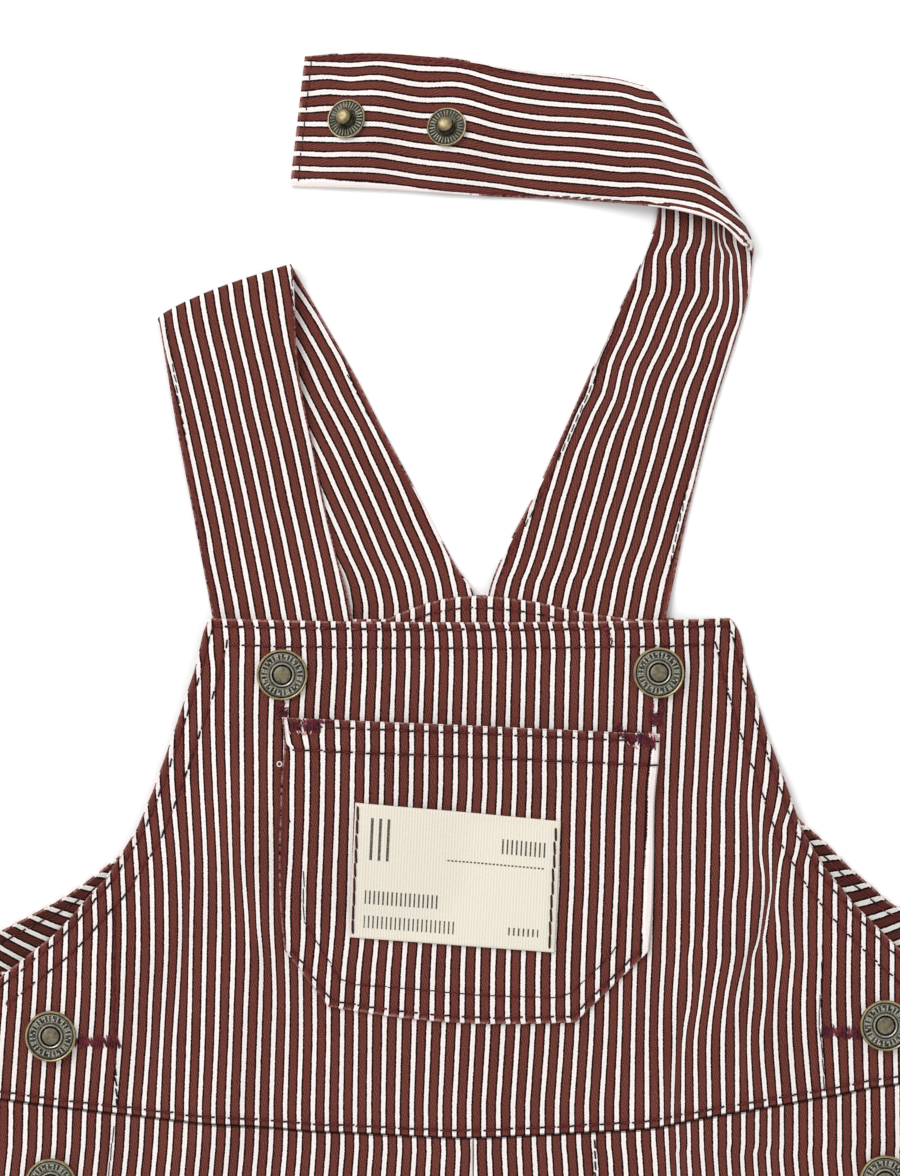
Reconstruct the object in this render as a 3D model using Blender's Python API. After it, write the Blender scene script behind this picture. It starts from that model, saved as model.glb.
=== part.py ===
"""Child's striped bib dungarees, laid flat with the front up.

The garment lies on the plane z = 0 and reads upward along +Y, with X across it.
Every cloth piece is a wall of constant thickness.  Pieces are laid in the order in
which they lie on each other, and each one rests on whatever is already below it.
Outlines are in millimetres: x across from the centre front, and the drop below the
top edge of the bib (a negative drop is above it).  Left and right are as seen here.
"""
import math

import bmesh
import bpy
import numpy as np

MM = 0.001

SIDES = ((-1, "l"), (1, "r"))

# Cloth
WALL = 1.0                # thickness of every cloth piece
SEAM_GAP = 0.3            # clearance between pieces that touch
CELL = 1.5                # grain of the map that says how high the laid pieces reach
DRAPE_SLOPE = 0.22        # how steeply cloth comes down beside what it lies on
DRAPE_REACH = 30          # steps over which it comes down

# Overall lengths
HEM_DROP = 672.0          # bib top to trouser hem
STRAP_REACH = 167.0       # bib top to the highest strap edge
BIB_TOP_Y = (HEM_DROP - STRAP_REACH) / 2

# Waist seam of the front: deepest at the centre, rising to both sides
HALF_WAIST = 143.0
WAIST_DROP = 153.0
WAIST_RISE_L = 12.5
WAIST_RISE_R = 17.5
WAIST_CURVE = 1.7
BACK_WAIST_DROP = 149.0

# Front bib: half width at each drop, measured along its side edges
BIB_TOP_DIP = 1.2
BIB_EDGE_L = (
    # drop, half width
    (0.0, 76.6), (4.0, 78.3), (15.0, 80.9), (33.0, 87.0), (51.0, 93.4), (62.0, 98.0),
    (73.0, 104.8), (84.0, 113.0), (95.0, 124.0), (104.0, 134.0), (112.0, 143.0), (160.0, 143.0),
)
BIB_EDGE_R = (
    (0.0, 77.0), (4.0, 79.4), (15.0, 81.9), (33.0, 87.2), (51.0, 93.8), (62.0, 97.6),
    (73.0, 104.2), (84.0, 113.0), (95.0, 124.0), (104.0, 134.0), (112.0, 143.0), (160.0, 143.0),
)
BIB_DROPS = (0.0, 5, 14, 23, 32, 41, 50, 59, 66, 73, 79, 85, 91, 97, 102, 107, 112, 121, 130, 138)

# Back: rounded top between the straps, then the armholes down to the side edges
BACK_TOP_RISE = 6.2
BACK_TOP_HALF = 60.0
BACK_TOP_ROUND = 46.0
BACK_EDGE_L = (
    # drop, half width
    (0.0, 60.0), (14.0, 65.0), (31.0, 75.0), (50.0, 86.5), (66.5, 99.0), (72.3, 106.2), (77.9, 113.3),
    (82.9, 120.4), (86.4, 127.4), (90.3, 134.5), (92.0, 138.0), (95.0, 143.0), (160.0, 143.0),
)
BACK_EDGE_R = (
    (0.0, 60.0), (14.0, 65.0), (30.0, 75.0), (47.0, 86.5), (60.2, 97.9), (66.4, 105.0), (73.8, 112.1),
    (79.7, 119.2), (83.5, 122.9), (86.5, 129.0), (91.5, 137.5), (95.0, 143.0), (160.0, 143.0),
)
BACK_DROPS = (0.0, 7, 14, 22, 30, 39, 48, 56, 64, 70, 75, 81, 86, 89, 92, 95, 122, 149)
TOP_FACING_DEPTH = 38.0
TOP_FACING_HALF = 52.0
ARMHOLE_FACING_DROPS = (52.0, 58, 64, 70, 75, 81, 86, 89, 92, 95)
ARMHOLE_FACING_WIDTH = 24.0
ARMHOLE_FACING_LEAN = 8.0

# Side openings
UNDERLAP_TOP = 98.0
UNDERLAP_FOOT = 196.0
UNDERLAP_WIDTH = 30.0

# Trousers: distance from the centre front of the inner and outer edges of one leg
LEG_EDGES = (
    # below waist, inner edge, outer edge
    (0.0, 0.0, 143.0), (45.0, 0.0, 151.0), (95.0, 0.0, 160.0), (140.0, 0.0, 165.5),
    (170.0, 0.0, 167.5), (186.0, 1.5, 168.0), (205.0, 5.5, 168.0), (240.0, 10.0, 168.0),
    (300.0, 16.0, 167.5), (380.0, 24.0, 167.0), (460.0, 32.0, 167.0), (519.0, 38.0, 167.0),
)
BACK_LEG_STEPS = (0.0, 45, 95, 140, 170, 186, 205, 240, 300, 380, 460, 519)
FRONT_LEG_STEPS = (0.0, 14, 30, 50, 72, 95, 118, 140, 156, 170, 186, 205, 225, 247, 270, 293, 316,
                   340, 364, 388, 412, 436, 460, 484, 504, 519)
LEG_FULLNESS = 2.4        # how far the middle of a trouser front stands off the back
BODY_FULLNESS = 1.4       # the same over the bib and the top of the trousers
EDGE_PRESS = 26.0         # width of the pressed strip beside a free edge or side seam

# Soft folds of the front: a ridge from one point to another
FOLDS = (
    # from x, from drop, to x, to drop, half width, height
    (66.0, 68.0, 88.0, 176.0, 9.0, 2.6),
    (82.0, 96.0, 104.0, 190.0, 8.0, 1.6),
    (-62.0, 72.0, -80.0, 176.0, 9.0, 2.2),
    (-50.0, 118.0, -38.0, 250.0, 8.0, 1.8),
    (52.0, 122.0, 60.0, 300.0, 10.0, 2.2),
    (-95.0, 210.0, -70.0, 360.0, 11.0, 2.6),
    (98.0, 230.0, 74.0, 372.0, 11.0, 2.4),
    (-130.0, 430.0, -84.0, 520.0, 11.0, 2.6),
    (128.0, 410.0, 92.0, 508.0, 11.0, 2.4),
    (-60.0, 560.0, -100.0, 640.0, 10.0, 1.8),
    (72.0, 548.0, 104.0, 636.0, 10.0, 2.0),
)

# Straps: the two edges at each crosswise row, from the root to the fold and on to the end
STRAP_L_LOWER = (
    # edge a x, edge a drop, edge b x, edge b drop
    (-47.0, 15.0, 3.0, 12.0),
    (-52.5, -1.0, 1.2, -6.5),
    (-58.0, -14.0, -4.6, -16.0),
    (-66.0, -31.0, -13.2, -32.5),
    (-76.0, -53.0, -26.2, -56.5),
    (-84.0, -70.0, -34.2, -72.0),
    (-88.5, -80.5, -44.2, -89.4),
    (-92.3, -88.4, -52.8, -104.6),
)
STRAP_L_UPPER = (
    (-92.3, -88.4, -52.8, -104.6),
    (-87.6, -62.0, -50.8, -74.0),
    (-81.5, -30.0, -45.5, -37.0),
    (-76.1, -1.0, -37.0, -1.0),
    (-65.1, 60.0, -24.8, 60.0),
)
STRAP_R_LOWER = (
    (8.0, 15.0, 54.0, 15.0),
    (5.6, -8.0, 58.2, -2.0),
    (21.8, -42.2, 64.2, -30.4),
    (39.8, -82.0, 71.7, -60.8),
    (51.3, -107.1, 79.1, -84.4),
    (55.6, -123.0, 82.2, -96.0),
    (51.8, -154.4, 83.0, -109.5),
)
STRAP_R_UPPER = (
    (51.8, -154.4, 83.0, -109.5),
    (41.0, -159.0, 70.0, -117.2),
    (28.0, -160.6, 52.0, -122.4),
    (13.0, -162.0, 30.0, -123.9),
    (-8.0, -165.4, 4.0, -124.6),
    (-30.0, -166.9, -26.0, -127.0),
    (-48.7, -165.6, -53.1, -127.7),
)
STRAP_COLUMNS = 6
STRAP_ROWS = 4            # rows made between two rows of a strap's table
FOLD_STEPS = 5            # steps round the turn of a strap
FOLD_L = {"bulge": 1.6, "radius_a": 0.9, "radius_b": 0.9, "settle": 30.0}
FOLD_R = {"bulge": 3.2, "radius_a": 1.4, "radius_b": 4.6, "settle": 70.0}

# Chest pocket and label: the two side edges from top to foot
POCKET_ROWS = (
    # left x, left drop, right x, right drop
    (-54.6, 29.5, 55.2, 34.5),
    (-55.0, 64.0, 53.6, 67.0),
    (-55.2, 95.3, 51.9, 99.4),
    (-41.3, 114.5, 31.0, 118.9),
)
PATCH_HOLD = 4.0          # how closely a patch follows the cloth that it is sewn to
POCKET_FOOT_DIP = 2.4
LABEL_ROWS = (
    (-33.3, 54.3, 26.6, 60.2),
    (-35.4, 94.4, 24.5, 98.5),
)

# Press studs: (radius, height) turned profiles, from the underside round to the top
ROUND_SIDES = 20
CAP_PROFILE = ((6.3, 0.0), (7.5, 0.6), (7.3, 1.6), (6.5, 2.0), (5.3, 1.5), (3.3, 1.5), (2.6, 2.0))
POST_PROFILE = ((5.8, 0.0), (6.0, 0.6), (5.1, 1.0), (2.5, 0.8), (1.9, 1.1), (1.8, 3.1), (1.2, 3.5))
FASTENED_PROFILE = ((5.8, 0.0), (6.0, 0.6), (5.2, 1.4))
CAPS = (
    # name, x, drop
    ("cap_bib_l", -55.5, 16.8),
    ("cap_bib_r", 55.8, 16.2),
    ("cap_side_upper_l", -123.9, 123.6),
    ("cap_side_upper_r", 122.7, 120.4),
    ("cap_side_lower_l", -123.9, 167.3),
    ("cap_side_lower_r", 122.7, 166.4),
)
HIDDEN_STUDS = (("stud_strap_l_upper", -55.5, 16.8), ("stud_strap_l_lower", -50.3, 45.8))
FREE_STUDS = (("stud_strap_r_end", -36.3, -147.2), ("stud_strap_r_inner", -6.8, -144.8))

STRIPED = {"colour": (0.27, 0.12, 0.11), "roughness": 0.9, "metallic": 0.0}
LABEL_WHITE = {"colour": (0.82, 0.76, 0.66), "roughness": 0.85, "metallic": 0.0}
BRASS = {"colour": (0.33, 0.27, 0.17), "roughness": 0.38, "metallic": 0.9}


def material(name, look):
    """A plain material with the piece's colour, roughness and metallic value."""
    made = bpy.data.materials.new(name)
    made.use_nodes = True
    shader = made.node_tree.nodes["Principled BSDF"]
    shader.inputs["Base Color"].default_value = (*look["colour"], 1.0)
    shader.inputs["Roughness"].default_value = look["roughness"]
    shader.inputs["Metallic"].default_value = look["metallic"]
    return made


def finish(name, bm, look):
    """Turn a bmesh in millimetres into a named object in metres."""
    bmesh.ops.recalc_face_normals(bm, faces=bm.faces)
    bmesh.ops.scale(bm, vec=(MM, MM, MM), verts=bm.verts)
    mesh = bpy.data.meshes.new(name)
    bm.to_mesh(mesh)
    bm.free()
    mesh.materials.append(material(name, look))
    bpy.context.collection.objects.link(bpy.data.objects.new(name, mesh))
    return mesh


def wall(name, middle, outward, look=STRIPED):
    """A closed wall of cloth round a grid of middle points with outward directions."""
    rows, columns = middle.shape[:2]
    bm = bmesh.new()
    sides = []
    for sign in (1, -1):
        skin = middle + outward * (sign * WALL / 2)
        sides.append([[bm.verts.new(point) for point in row] for row in skin])
    for side in sides:
        for i in range(rows - 1):
            for j in range(columns - 1):
                a, b, c, d = side[i][j], side[i + 1][j], side[i + 1][j + 1], side[i][j + 1]
                bm.faces.new((a, b, c))
                bm.faces.new((a, c, d))
    rim = [(i, 0) for i in range(rows)]
    rim += [(rows - 1, j) for j in range(1, columns)]
    rim += [(i, columns - 1) for i in range(rows - 2, -1, -1)]
    rim += [(0, j) for j in range(columns - 2, 0, -1)]
    for (i, j), (k, m) in zip(rim, rim[1:] + rim[:1]):
        bm.faces.new((sides[0][i][j], sides[0][k][m], sides[1][k][m]))
        bm.faces.new((sides[0][i][j], sides[1][k][m], sides[1][i][j]))
    finish(name, bm, look)


def turned(name, profile, x, y, z, look=BRASS):
    """A round piece turned from a profile that starts and ends on flat faces."""
    bm = bmesh.new()
    rings = []
    for radius, height in profile:
        ring = []
        for step in range(ROUND_SIDES):
            angle = 2 * math.pi * step / ROUND_SIDES
            point = (x + radius * math.cos(angle), y + radius * math.sin(angle), z + height)
            ring.append(bm.verts.new(point))
        rings.append(ring)
    for low, high in zip(rings, rings[1:]):
        for k in range(ROUND_SIDES):
            after = (k + 1) % ROUND_SIDES
            bm.faces.new((low[k], low[after], high[after], high[k]))
    bm.faces.new(rings[0])
    bm.faces.new(rings[-1])
    mesh = finish(name, bm, look)
    mesh.shade_smooth()
    mesh.set_sharp_from_angle(angle=math.radians(40))


class Surface:
    """How high the laid pieces reach over each spot of the surface below them."""

    def __init__(self):
        self.low = np.array((-190.0, -440.0))
        self.cells = (int(380 / CELL), int(880 / CELL))
        self.height = np.full(self.cells, -SEAM_GAP)

    def cell(self, x, y):
        column = ((x - self.low[0]) / CELL).astype(int)
        row = ((y - self.low[1]) / CELL).astype(int)
        return column, row

    def lay(self, middle):
        """Note a laid piece, from the grid of its middle points."""
        fine = middle
        for axis in (0, 1):
            count = fine.shape[axis]
            spans = np.linalg.norm(np.diff(fine, axis=axis), axis=2)
            steps = int(spans.max() / CELL) + 2
            at = np.linspace(0, count - 1, (count - 1) * steps + 1)
            before = np.minimum(at.astype(int), count - 2)
            share = at - before
            share = share[:, None, None] if axis == 0 else share[None, :, None]
            near = np.take(fine, before, axis=axis)
            far = np.take(fine, before + 1, axis=axis)
            fine = near * (1 - share) + far * share
        top = fine[..., 2] + WALL / 2
        np.maximum.at(self.height, self.cell(fine[..., 0], fine[..., 1]), top)

    def lay_disc(self, x, y, radius, top):
        """Note a laid round piece."""
        column, row = np.indices(self.cells)
        away = np.hypot(self.low[0] + (column + 0.5) * CELL - x, self.low[1] + (row + 0.5) * CELL - y)
        self.height = np.where(away < radius, np.maximum(self.height, top), self.height)

    @staticmethod
    def widened(height, steps, fall):
        """Spread high spots outward, coming down by a fall at each step."""
        rows, columns = height.shape
        for _ in range(steps):
            padded = np.pad(height, 1, mode="edge")
            shifted = [padded[i:i + rows, j:j + columns] for i in range(3) for j in range(3)]
            height = np.maximum(height, np.max(shifted, axis=0) - fall)
        return height

    def under(self, grid, hold=None):
        """Where the underside of the next piece lies, held level for a stretch past each edge."""
        if hold is None:
            hold = max(np.linalg.norm(np.diff(grid, axis=axis), axis=2).max() for axis in (0, 1))
        level = self.widened(self.height, int(hold / CELL) + 2, 0.0)
        eased = self.widened(level, DRAPE_REACH, DRAPE_SLOPE * CELL)
        return eased[self.cell(grid[..., 0], grid[..., 1])] + SEAM_GAP

    def highest_below(self, x, y, radius):
        """The highest spot below a round piece."""
        column, row = np.indices(self.cells)
        away = np.hypot(self.low[0] + (column + 0.5) * CELL - x, self.low[1] + (row + 0.5) * CELL - y)
        return self.height[away < radius + 2 * CELL].max()


def smooth(value):
    """An even step from 0 to 1."""
    value = np.clip(value, 0.0, 1.0)
    return value * value * (3 - 2 * value)


def table_column(table, column, at):
    """Read one column of a table between its rows, by its first column."""
    rows = np.array(table)
    return np.interp(at, rows[:, 0], rows[:, column])


def spline(rows, steps):
    """Rows of a table with smooth rows between them."""
    rows = np.array(rows, dtype=float)
    ends = np.vstack((2 * rows[0] - rows[1], rows, 2 * rows[-1] - rows[-2]))
    made = []
    for k in range(1, len(ends) - 2):
        before, here, there, after = ends[k - 1:k + 3]
        for step in range(steps):
            t = step / steps
            made.append(0.5 * (2 * here + (there - before) * t
                               + (2 * before - 5 * here + 4 * there - after) * t ** 2
                               + (3 * here - before - 3 * there + after) * t ** 3))
    made.append(rows[-1])
    return np.array(made)


def crosswise(rows, columns):
    """Grid of (x, y) between the two edges of each row (ax, a drop, bx, b drop)."""
    share = np.linspace(0, 1, columns + 1)[None, :, None]
    first, second = rows[:, None, 0:2], rows[:, None, 2:4]
    grid = first * (1 - share) + second * share
    grid[..., 1] = BIB_TOP_Y - grid[..., 1]
    return grid


def folds(grid):
    """Height that the soft folds add at each point of the front."""
    total = np.zeros(grid.shape[:2])
    for from_x, from_drop, to_x, to_drop, half_width, height in FOLDS:
        start = np.array((from_x, BIB_TOP_Y - from_drop))
        along = np.array((to_x, BIB_TOP_Y - to_drop)) - start
        length = np.linalg.norm(along)
        along /= length
        offset = grid - start
        run = offset.dot(along) / length
        away = offset[..., 0] * along[1] - offset[..., 1] * along[0]
        ends = smooth(run * 3) * smooth((1 - run) * 3)
        total += height * ends * np.exp(-(away / half_width) ** 2)
    return total


def waist_rise(across):
    """Rise of the front waist seam at a share of the half waist, negative to the left."""
    rise = np.where(across < 0, WAIST_RISE_L, WAIST_RISE_R)
    return rise * np.abs(across) ** WAIST_CURVE


def body_rows(left_table, right_table, top_drop, foot_drop, drops, columns):
    """Grid of (x, y) between a top edge and a waist seam, with the side edges of two tables."""
    across = np.linspace(-1, 1, columns + 1)
    grid = []
    for drop in drops:
        share = drop / drops[-1]
        half = np.where(across < 0, table_column(left_table, 1, drop), table_column(right_table, 1, drop))
        down = top_drop(across) * (1 - share) + foot_drop(across) * share
        grid.append(np.column_stack((across * half, BIB_TOP_Y - down)))
    return np.array(grid)


def leg_rows(side, waist, steps, columns):
    """Grid of (x, y) of one trouser panel, from the waist seam to the hem."""
    across = np.linspace(0, 1, columns + 1)
    length = LEG_EDGES[-1][0]
    grid = []
    for below in steps:
        inner = table_column(LEG_EDGES, 1, below) + SEAM_GAP / 2
        outer = table_column(LEG_EDGES, 2, below)
        x = side * (inner + (outer - inner) * across)
        share = below / length
        top = waist(side * across) + SEAM_GAP
        grid.append(np.column_stack((x, BIB_TOP_Y - (top * (1 - share) + HEM_DROP * share))))
    return np.array(grid)


def strap_plan(lower_table, upper_table, fold):
    """A strap seen from above: its run up from the root, and its run on after the fold."""
    lower = crosswise(spline(lower_table, STRAP_ROWS), STRAP_COLUMNS)
    upper = crosswise(spline(upper_table, STRAP_ROWS), STRAP_COLUMNS)
    share = np.linspace(0, 1, STRAP_COLUMNS + 1)
    radius = fold["radius_a"] * (1 - share) + fold["radius_b"] * share
    line = upper[0, -1] - upper[0, 0]
    line /= np.linalg.norm(line)
    arriving = lower[-1].mean(axis=0) - lower[-3].mean(axis=0)
    outward = arriving - line * arriving.dot(line)
    outward /= np.linalg.norm(outward)
    bulge = fold["bulge"] * np.sin(math.pi * share ** 0.7)
    shift = outward * (bulge - radius)[:, None]
    reach = len(lower) // 3
    for k in range(reach):
        ease = float(smooth(1 - k / reach)) ** 2
        lower[-1 - k] += shift * ease
        upper[k] += shift * ease
    return {"lower": lower, "upper": upper, "radius": radius, "outward": outward, "settle": fold["settle"]}


def strap_upper_height(surface, plan, low_z):
    """Height of a strap's middle after its fold, coming down from the turn to what lies below."""
    upper = plan["upper"]
    over = surface.under(upper) + WALL / 2
    run = np.linalg.norm(upper - upper[0], axis=2)
    turn = low_z[-1] + 2 * plan["radius"]
    high_z = np.maximum(over, low_z[-1] + (turn - low_z[-1]) * (1 - smooth(run / plan["settle"])))
    high_z[0] = turn
    return high_z


def strap_wall(name, plan, low_z, high_z):
    """The strap as one wall: lower run, turn and upper run."""
    lower, upper, outward = plan["lower"], plan["upper"], plan["outward"]
    middle = [np.dstack((lower, low_z))]
    facing = [np.broadcast_to((0.0, 0.0, -1.0), middle[0].shape)]
    for step in range(1, FOLD_STEPS):
        angle = math.pi * step / FOLD_STEPS
        across = lower[-1] + outward * (plan["radius"] * math.sin(angle))[:, None]
        height = low_z[-1] + (high_z[0] - low_z[-1]) * (1 - math.cos(angle)) / 2
        middle.append(np.dstack((across[None], height[None])))
        away = (*(outward * math.sin(angle)), -math.cos(angle))
        facing.append(np.broadcast_to(away, middle[-1].shape))
    middle.append(np.dstack((upper, high_z)))
    facing.append(np.broadcast_to((0.0, 0.0, 1.0), middle[-1].shape))
    wall(name, np.concatenate(middle), np.concatenate(facing))


def armhole_facing_plan(side):
    """Facing inside one back armhole, from behind the bib to the side edge."""
    drops = np.array(ARMHOLE_FACING_DROPS)
    half = table_column(BACK_EDGE_L if side < 0 else BACK_EDGE_R, 1, drops)
    lean = ARMHOLE_FACING_LEAN * smooth((HALF_WAIST - half) / ARMHOLE_FACING_WIDTH)
    rows = np.column_stack((side * half, drops, side * (half - lean), drops + ARMHOLE_FACING_WIDTH))
    return crosswise(rows, 2)


def top_facing_plan():
    """Facing inside the rounded top of the back."""
    across = np.linspace(-1, 1, 9)
    x = across * TOP_FACING_HALF
    top = back_top(x / BACK_TOP_HALF) + SEAM_GAP
    rows = np.column_stack((x, top, x, np.full(len(x), TOP_FACING_DEPTH)))
    return crosswise(rows, 4)


def underlap_plan(side):
    """Underlap of one side opening, inside the side edge of the back."""
    drops = np.linspace(UNDERLAP_TOP, UNDERLAP_FOOT, 6)
    below = np.maximum(drops - BACK_WAIST_DROP, 0.0)
    edge = table_column(LEG_EDGES, 2, below) - 1.0
    return crosswise(np.column_stack((side * edge, drops, side * (edge - UNDERLAP_WIDTH), drops)), 2)


def back_top(across):
    """Drop of the back's top edge at a share of its half width."""
    return -BACK_TOP_RISE * np.maximum(1 - (across * BACK_TOP_HALF / BACK_TOP_ROUND) ** 2, 0.0)


def front_waist(across):
    """Drop of the front waist seam at a share of the half waist."""
    return WAIST_DROP - waist_rise(across)


def back_waist(across):
    """Drop of the back waist seam, which is straight."""
    return BACK_WAIST_DROP + 0 * across


def bib_underside(surface, grid):
    """Underside of the bib: over what lies below, standing off a little, with its folds."""
    half = np.abs(grid[:, -1:, 0])
    inside = half - np.abs(grid[..., 0])
    below_top = grid[:1, :, 1] - grid[..., 1]
    pressed = smooth(inside / EDGE_PRESS) * smooth(below_top / EDGE_PRESS)
    return surface.under(grid) + (BODY_FULLNESS + folds(grid)) * pressed


def leg_underside(surface, grid):
    """Underside of a trouser front, pressed flat at its side seam and inseam."""
    inner, outer = np.abs(grid[:, :1, 0]), np.abs(grid[:, -1:, 0])
    reach = np.abs(grid[..., 0])
    below = grid[:1, :, 1] - grid[..., 1]
    inseam = smooth(inner / 6.0) * (1 - smooth((reach - inner) / EDGE_PRESS))
    pressed = smooth((outer - reach) / EDGE_PRESS) * (1 - inseam)
    fullness = BODY_FULLNESS + (LEG_FULLNESS - BODY_FULLNESS) * smooth(below / 90.0)
    return surface.under(grid) + (fullness + folds(grid)) * pressed


def lay_together(surface, pieces):
    """Lay cloth pieces that meet edge to edge, each from its plan grid and its underside."""
    for name, grid, underside, look in pieces:
        middle = np.dstack((grid, underside + WALL / 2))
        wall(name, middle, np.broadcast_to((0.0, 0.0, 1.0), middle.shape), look)
    for name, grid, underside, look in pieces:
        surface.lay(np.dstack((grid, underside + WALL / 2)))


def lay_back(surface):
    """The back panels, flat on the surface."""
    plans = {"back_bib": body_rows(BACK_EDGE_L, BACK_EDGE_R, back_top, back_waist, BACK_DROPS, 8)}
    for side, tag in SIDES:
        plans[f"back_leg_{tag}"] = leg_rows(side, back_waist, BACK_LEG_STEPS, 4)
    lay_together(surface, [(name, grid, np.zeros(grid.shape[:2]), STRIPED) for name, grid in plans.items()])


def lay_inside_of_back(surface):
    """The facings and underlaps on the back, and both straps."""
    plans = {f"back_armhole_facing_{tag}": armhole_facing_plan(side) for side, tag in SIDES}
    lay_together(surface, [(name, grid, surface.under(grid), STRIPED) for name, grid in plans.items()])
    plans = {f"side_underlap_{tag}": underlap_plan(side) for side, tag in SIDES}
    lay_together(surface, [(name, grid, surface.under(grid), STRIPED) for name, grid in plans.items()])

    left = strap_plan(STRAP_L_LOWER, STRAP_L_UPPER, FOLD_L)
    right = strap_plan(STRAP_R_LOWER, STRAP_R_UPPER, FOLD_R)
    low_left = surface.under(left["lower"]) + WALL / 2
    low_right = surface.under(right["lower"]) + WALL / 2
    surface.lay(np.dstack((left["lower"], low_left)))
    surface.lay(np.dstack((right["lower"], low_right)))
    facing = top_facing_plan()
    lay_together(surface, [("back_top_facing", facing, surface.under(facing), STRIPED)])
    high_right = strap_upper_height(surface, right, low_right)
    high_left = strap_upper_height(surface, left, low_left)
    surface.lay(np.dstack((right["upper"], high_right)))
    surface.lay(np.dstack((left["upper"], high_left)))
    strap_wall("strap_l", left, low_left, high_left)
    strap_wall("strap_r", right, low_right, high_right)


def lay_studs(surface, studs, profile):
    """Round pieces that sit on the cloth."""
    for name, x, drop in studs:
        y = BIB_TOP_Y - drop
        seat = surface.highest_below(x, y, profile[1][0]) + SEAM_GAP
        turned(name, profile, x, y, seat)
        surface.lay_disc(x, y, profile[1][0], seat + max(height for radius, height in profile))


def lay_front(surface):
    """The bib and trouser fronts, then the pocket and its label."""
    pieces = []
    grid = body_rows(BIB_EDGE_L, BIB_EDGE_R, bib_top, front_waist, BIB_DROPS, 22)
    pieces.append(("front_bib", grid, bib_underside(surface, grid), STRIPED))
    for side, tag in SIDES:
        grid = leg_rows(side, front_waist, FRONT_LEG_STEPS, 9)
        pieces.append((f"front_leg_{tag}", grid, leg_underside(surface, grid), STRIPED))
    lay_together(surface, pieces)
    grid = crosswise(spline(POCKET_ROWS, 4), 12)
    foot = np.linspace(0, 1, len(grid))[:, None] ** 4
    grid[..., 1] -= POCKET_FOOT_DIP * foot * np.sin(np.linspace(0, math.pi, grid.shape[1]))
    lay_together(surface, [("chest_pocket", grid, surface.under(grid, PATCH_HOLD), STRIPED)])
    grid = crosswise(spline(LABEL_ROWS, 5), 7)
    lay_together(surface, [("woven_label", grid, surface.under(grid, PATCH_HOLD), LABEL_WHITE)])


def bib_top(across):
    """Drop of the bib's top edge at a share of its half width."""
    return BIB_TOP_DIP * (1 - across ** 2)


def build():
    """Lay every piece in order, from the back up to the caps."""
    surface = Surface()
    lay_back(surface)
    lay_inside_of_back(surface)
    lay_studs(surface, FREE_STUDS, POST_PROFILE)
    lay_studs(surface, HIDDEN_STUDS, FASTENED_PROFILE)
    lay_front(surface)
    lay_studs(surface, CAPS, CAP_PROFILE)


for existing in list(bpy.data.objects):
    bpy.data.objects.remove(existing, do_unlink=True)
build()
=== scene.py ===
import math

import bmesh
import bpy
import numpy as np
from mathutils import Matrix, Vector
from mathutils.bvhtree import BVHTree


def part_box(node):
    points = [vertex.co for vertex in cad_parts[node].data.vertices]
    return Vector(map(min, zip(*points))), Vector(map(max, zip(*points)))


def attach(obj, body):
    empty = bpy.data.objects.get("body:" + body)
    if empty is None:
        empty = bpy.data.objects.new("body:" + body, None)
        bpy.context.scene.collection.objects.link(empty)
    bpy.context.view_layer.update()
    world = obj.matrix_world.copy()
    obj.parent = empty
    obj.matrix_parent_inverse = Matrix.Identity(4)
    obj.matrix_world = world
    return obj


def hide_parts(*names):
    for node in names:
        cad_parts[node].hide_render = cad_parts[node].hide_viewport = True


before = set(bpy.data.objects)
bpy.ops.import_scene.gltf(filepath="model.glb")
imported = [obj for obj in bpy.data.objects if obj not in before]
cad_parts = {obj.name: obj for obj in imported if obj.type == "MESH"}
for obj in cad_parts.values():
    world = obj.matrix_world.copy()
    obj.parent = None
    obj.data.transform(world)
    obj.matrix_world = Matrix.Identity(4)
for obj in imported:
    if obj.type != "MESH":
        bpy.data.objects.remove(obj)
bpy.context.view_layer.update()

# Plans are in millimetres: x across from the centre front, and the drop below the top
# edge of the bib.  Left and right are as seen from above.

# ---------------------------------------------------------------------------
# The table that the garment lies on, the light and the camera.
# A plain pale board, one large soft lamp at the upper left and even light all round.
# The camera looks straight down from a little under a metre.
# ---------------------------------------------------------------------------
MM = 0.001
BIB_TOP_Y = 252.5
VIEW_X = -5.9
VIEW_Y = 261.35
VIEW_SPAN = 346.9
LENS = 100.0
SENSOR = 36.0
BOARD_SIZE = 12.0          # metres, so that its rim is never in view
BOARD_DROP = 0.3


def feed(target, value):
    """Feed a shader input from another node's output, or give it a plain value."""
    if isinstance(value, bpy.types.NodeSocket):
        target.id_data.links.new(value, target)
    else:
        target.default_value = value


def fill(shader, inputs):
    """Feed several inputs of a shader node, by name or number."""
    for key, value in inputs.items():
        feed(shader.inputs[key], value)


def node(tree, kind, inputs=None, **settings):
    """A shader node with its settings, and its inputs by name or number."""
    made = tree.nodes.new("ShaderNode" + kind)
    for name, value in settings.items():
        setattr(made, name, value)
    fill(made, inputs or {})
    return made


def tree_of(*values):
    """The shader tree that the first socket among some values belongs to."""
    return next(value.id_data for value in values if isinstance(value, bpy.types.NodeSocket))


def maths(operation, *values, clamp=False):
    """The result of one sum on one to three values."""
    made = node(tree_of(*values), "Math", dict(enumerate(values)), operation=operation, use_clamp=clamp)
    return made.outputs[0]


def plus(first, second, clamp=False):
    return maths("ADD", first, second, clamp=clamp)


def minus(first, second, clamp=False):
    return maths("SUBTRACT", first, second, clamp=clamp)


def times(first, second, clamp=False):
    return maths("MULTIPLY", first, second, clamp=clamp)


def scaled(value, by, more, clamp=False):
    """A value times another, plus a third."""
    return maths("MULTIPLY_ADD", value, by, more, clamp=clamp)


def blend(share, first, second, kind="MIX"):
    """One colour laid over another by a share."""
    tree = tree_of(share, first, second)
    made = node(tree, "Mix", {"Factor": share, 6: first, 7: second}, data_type="RGBA", blend_type=kind)
    return made.outputs[2]


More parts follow.
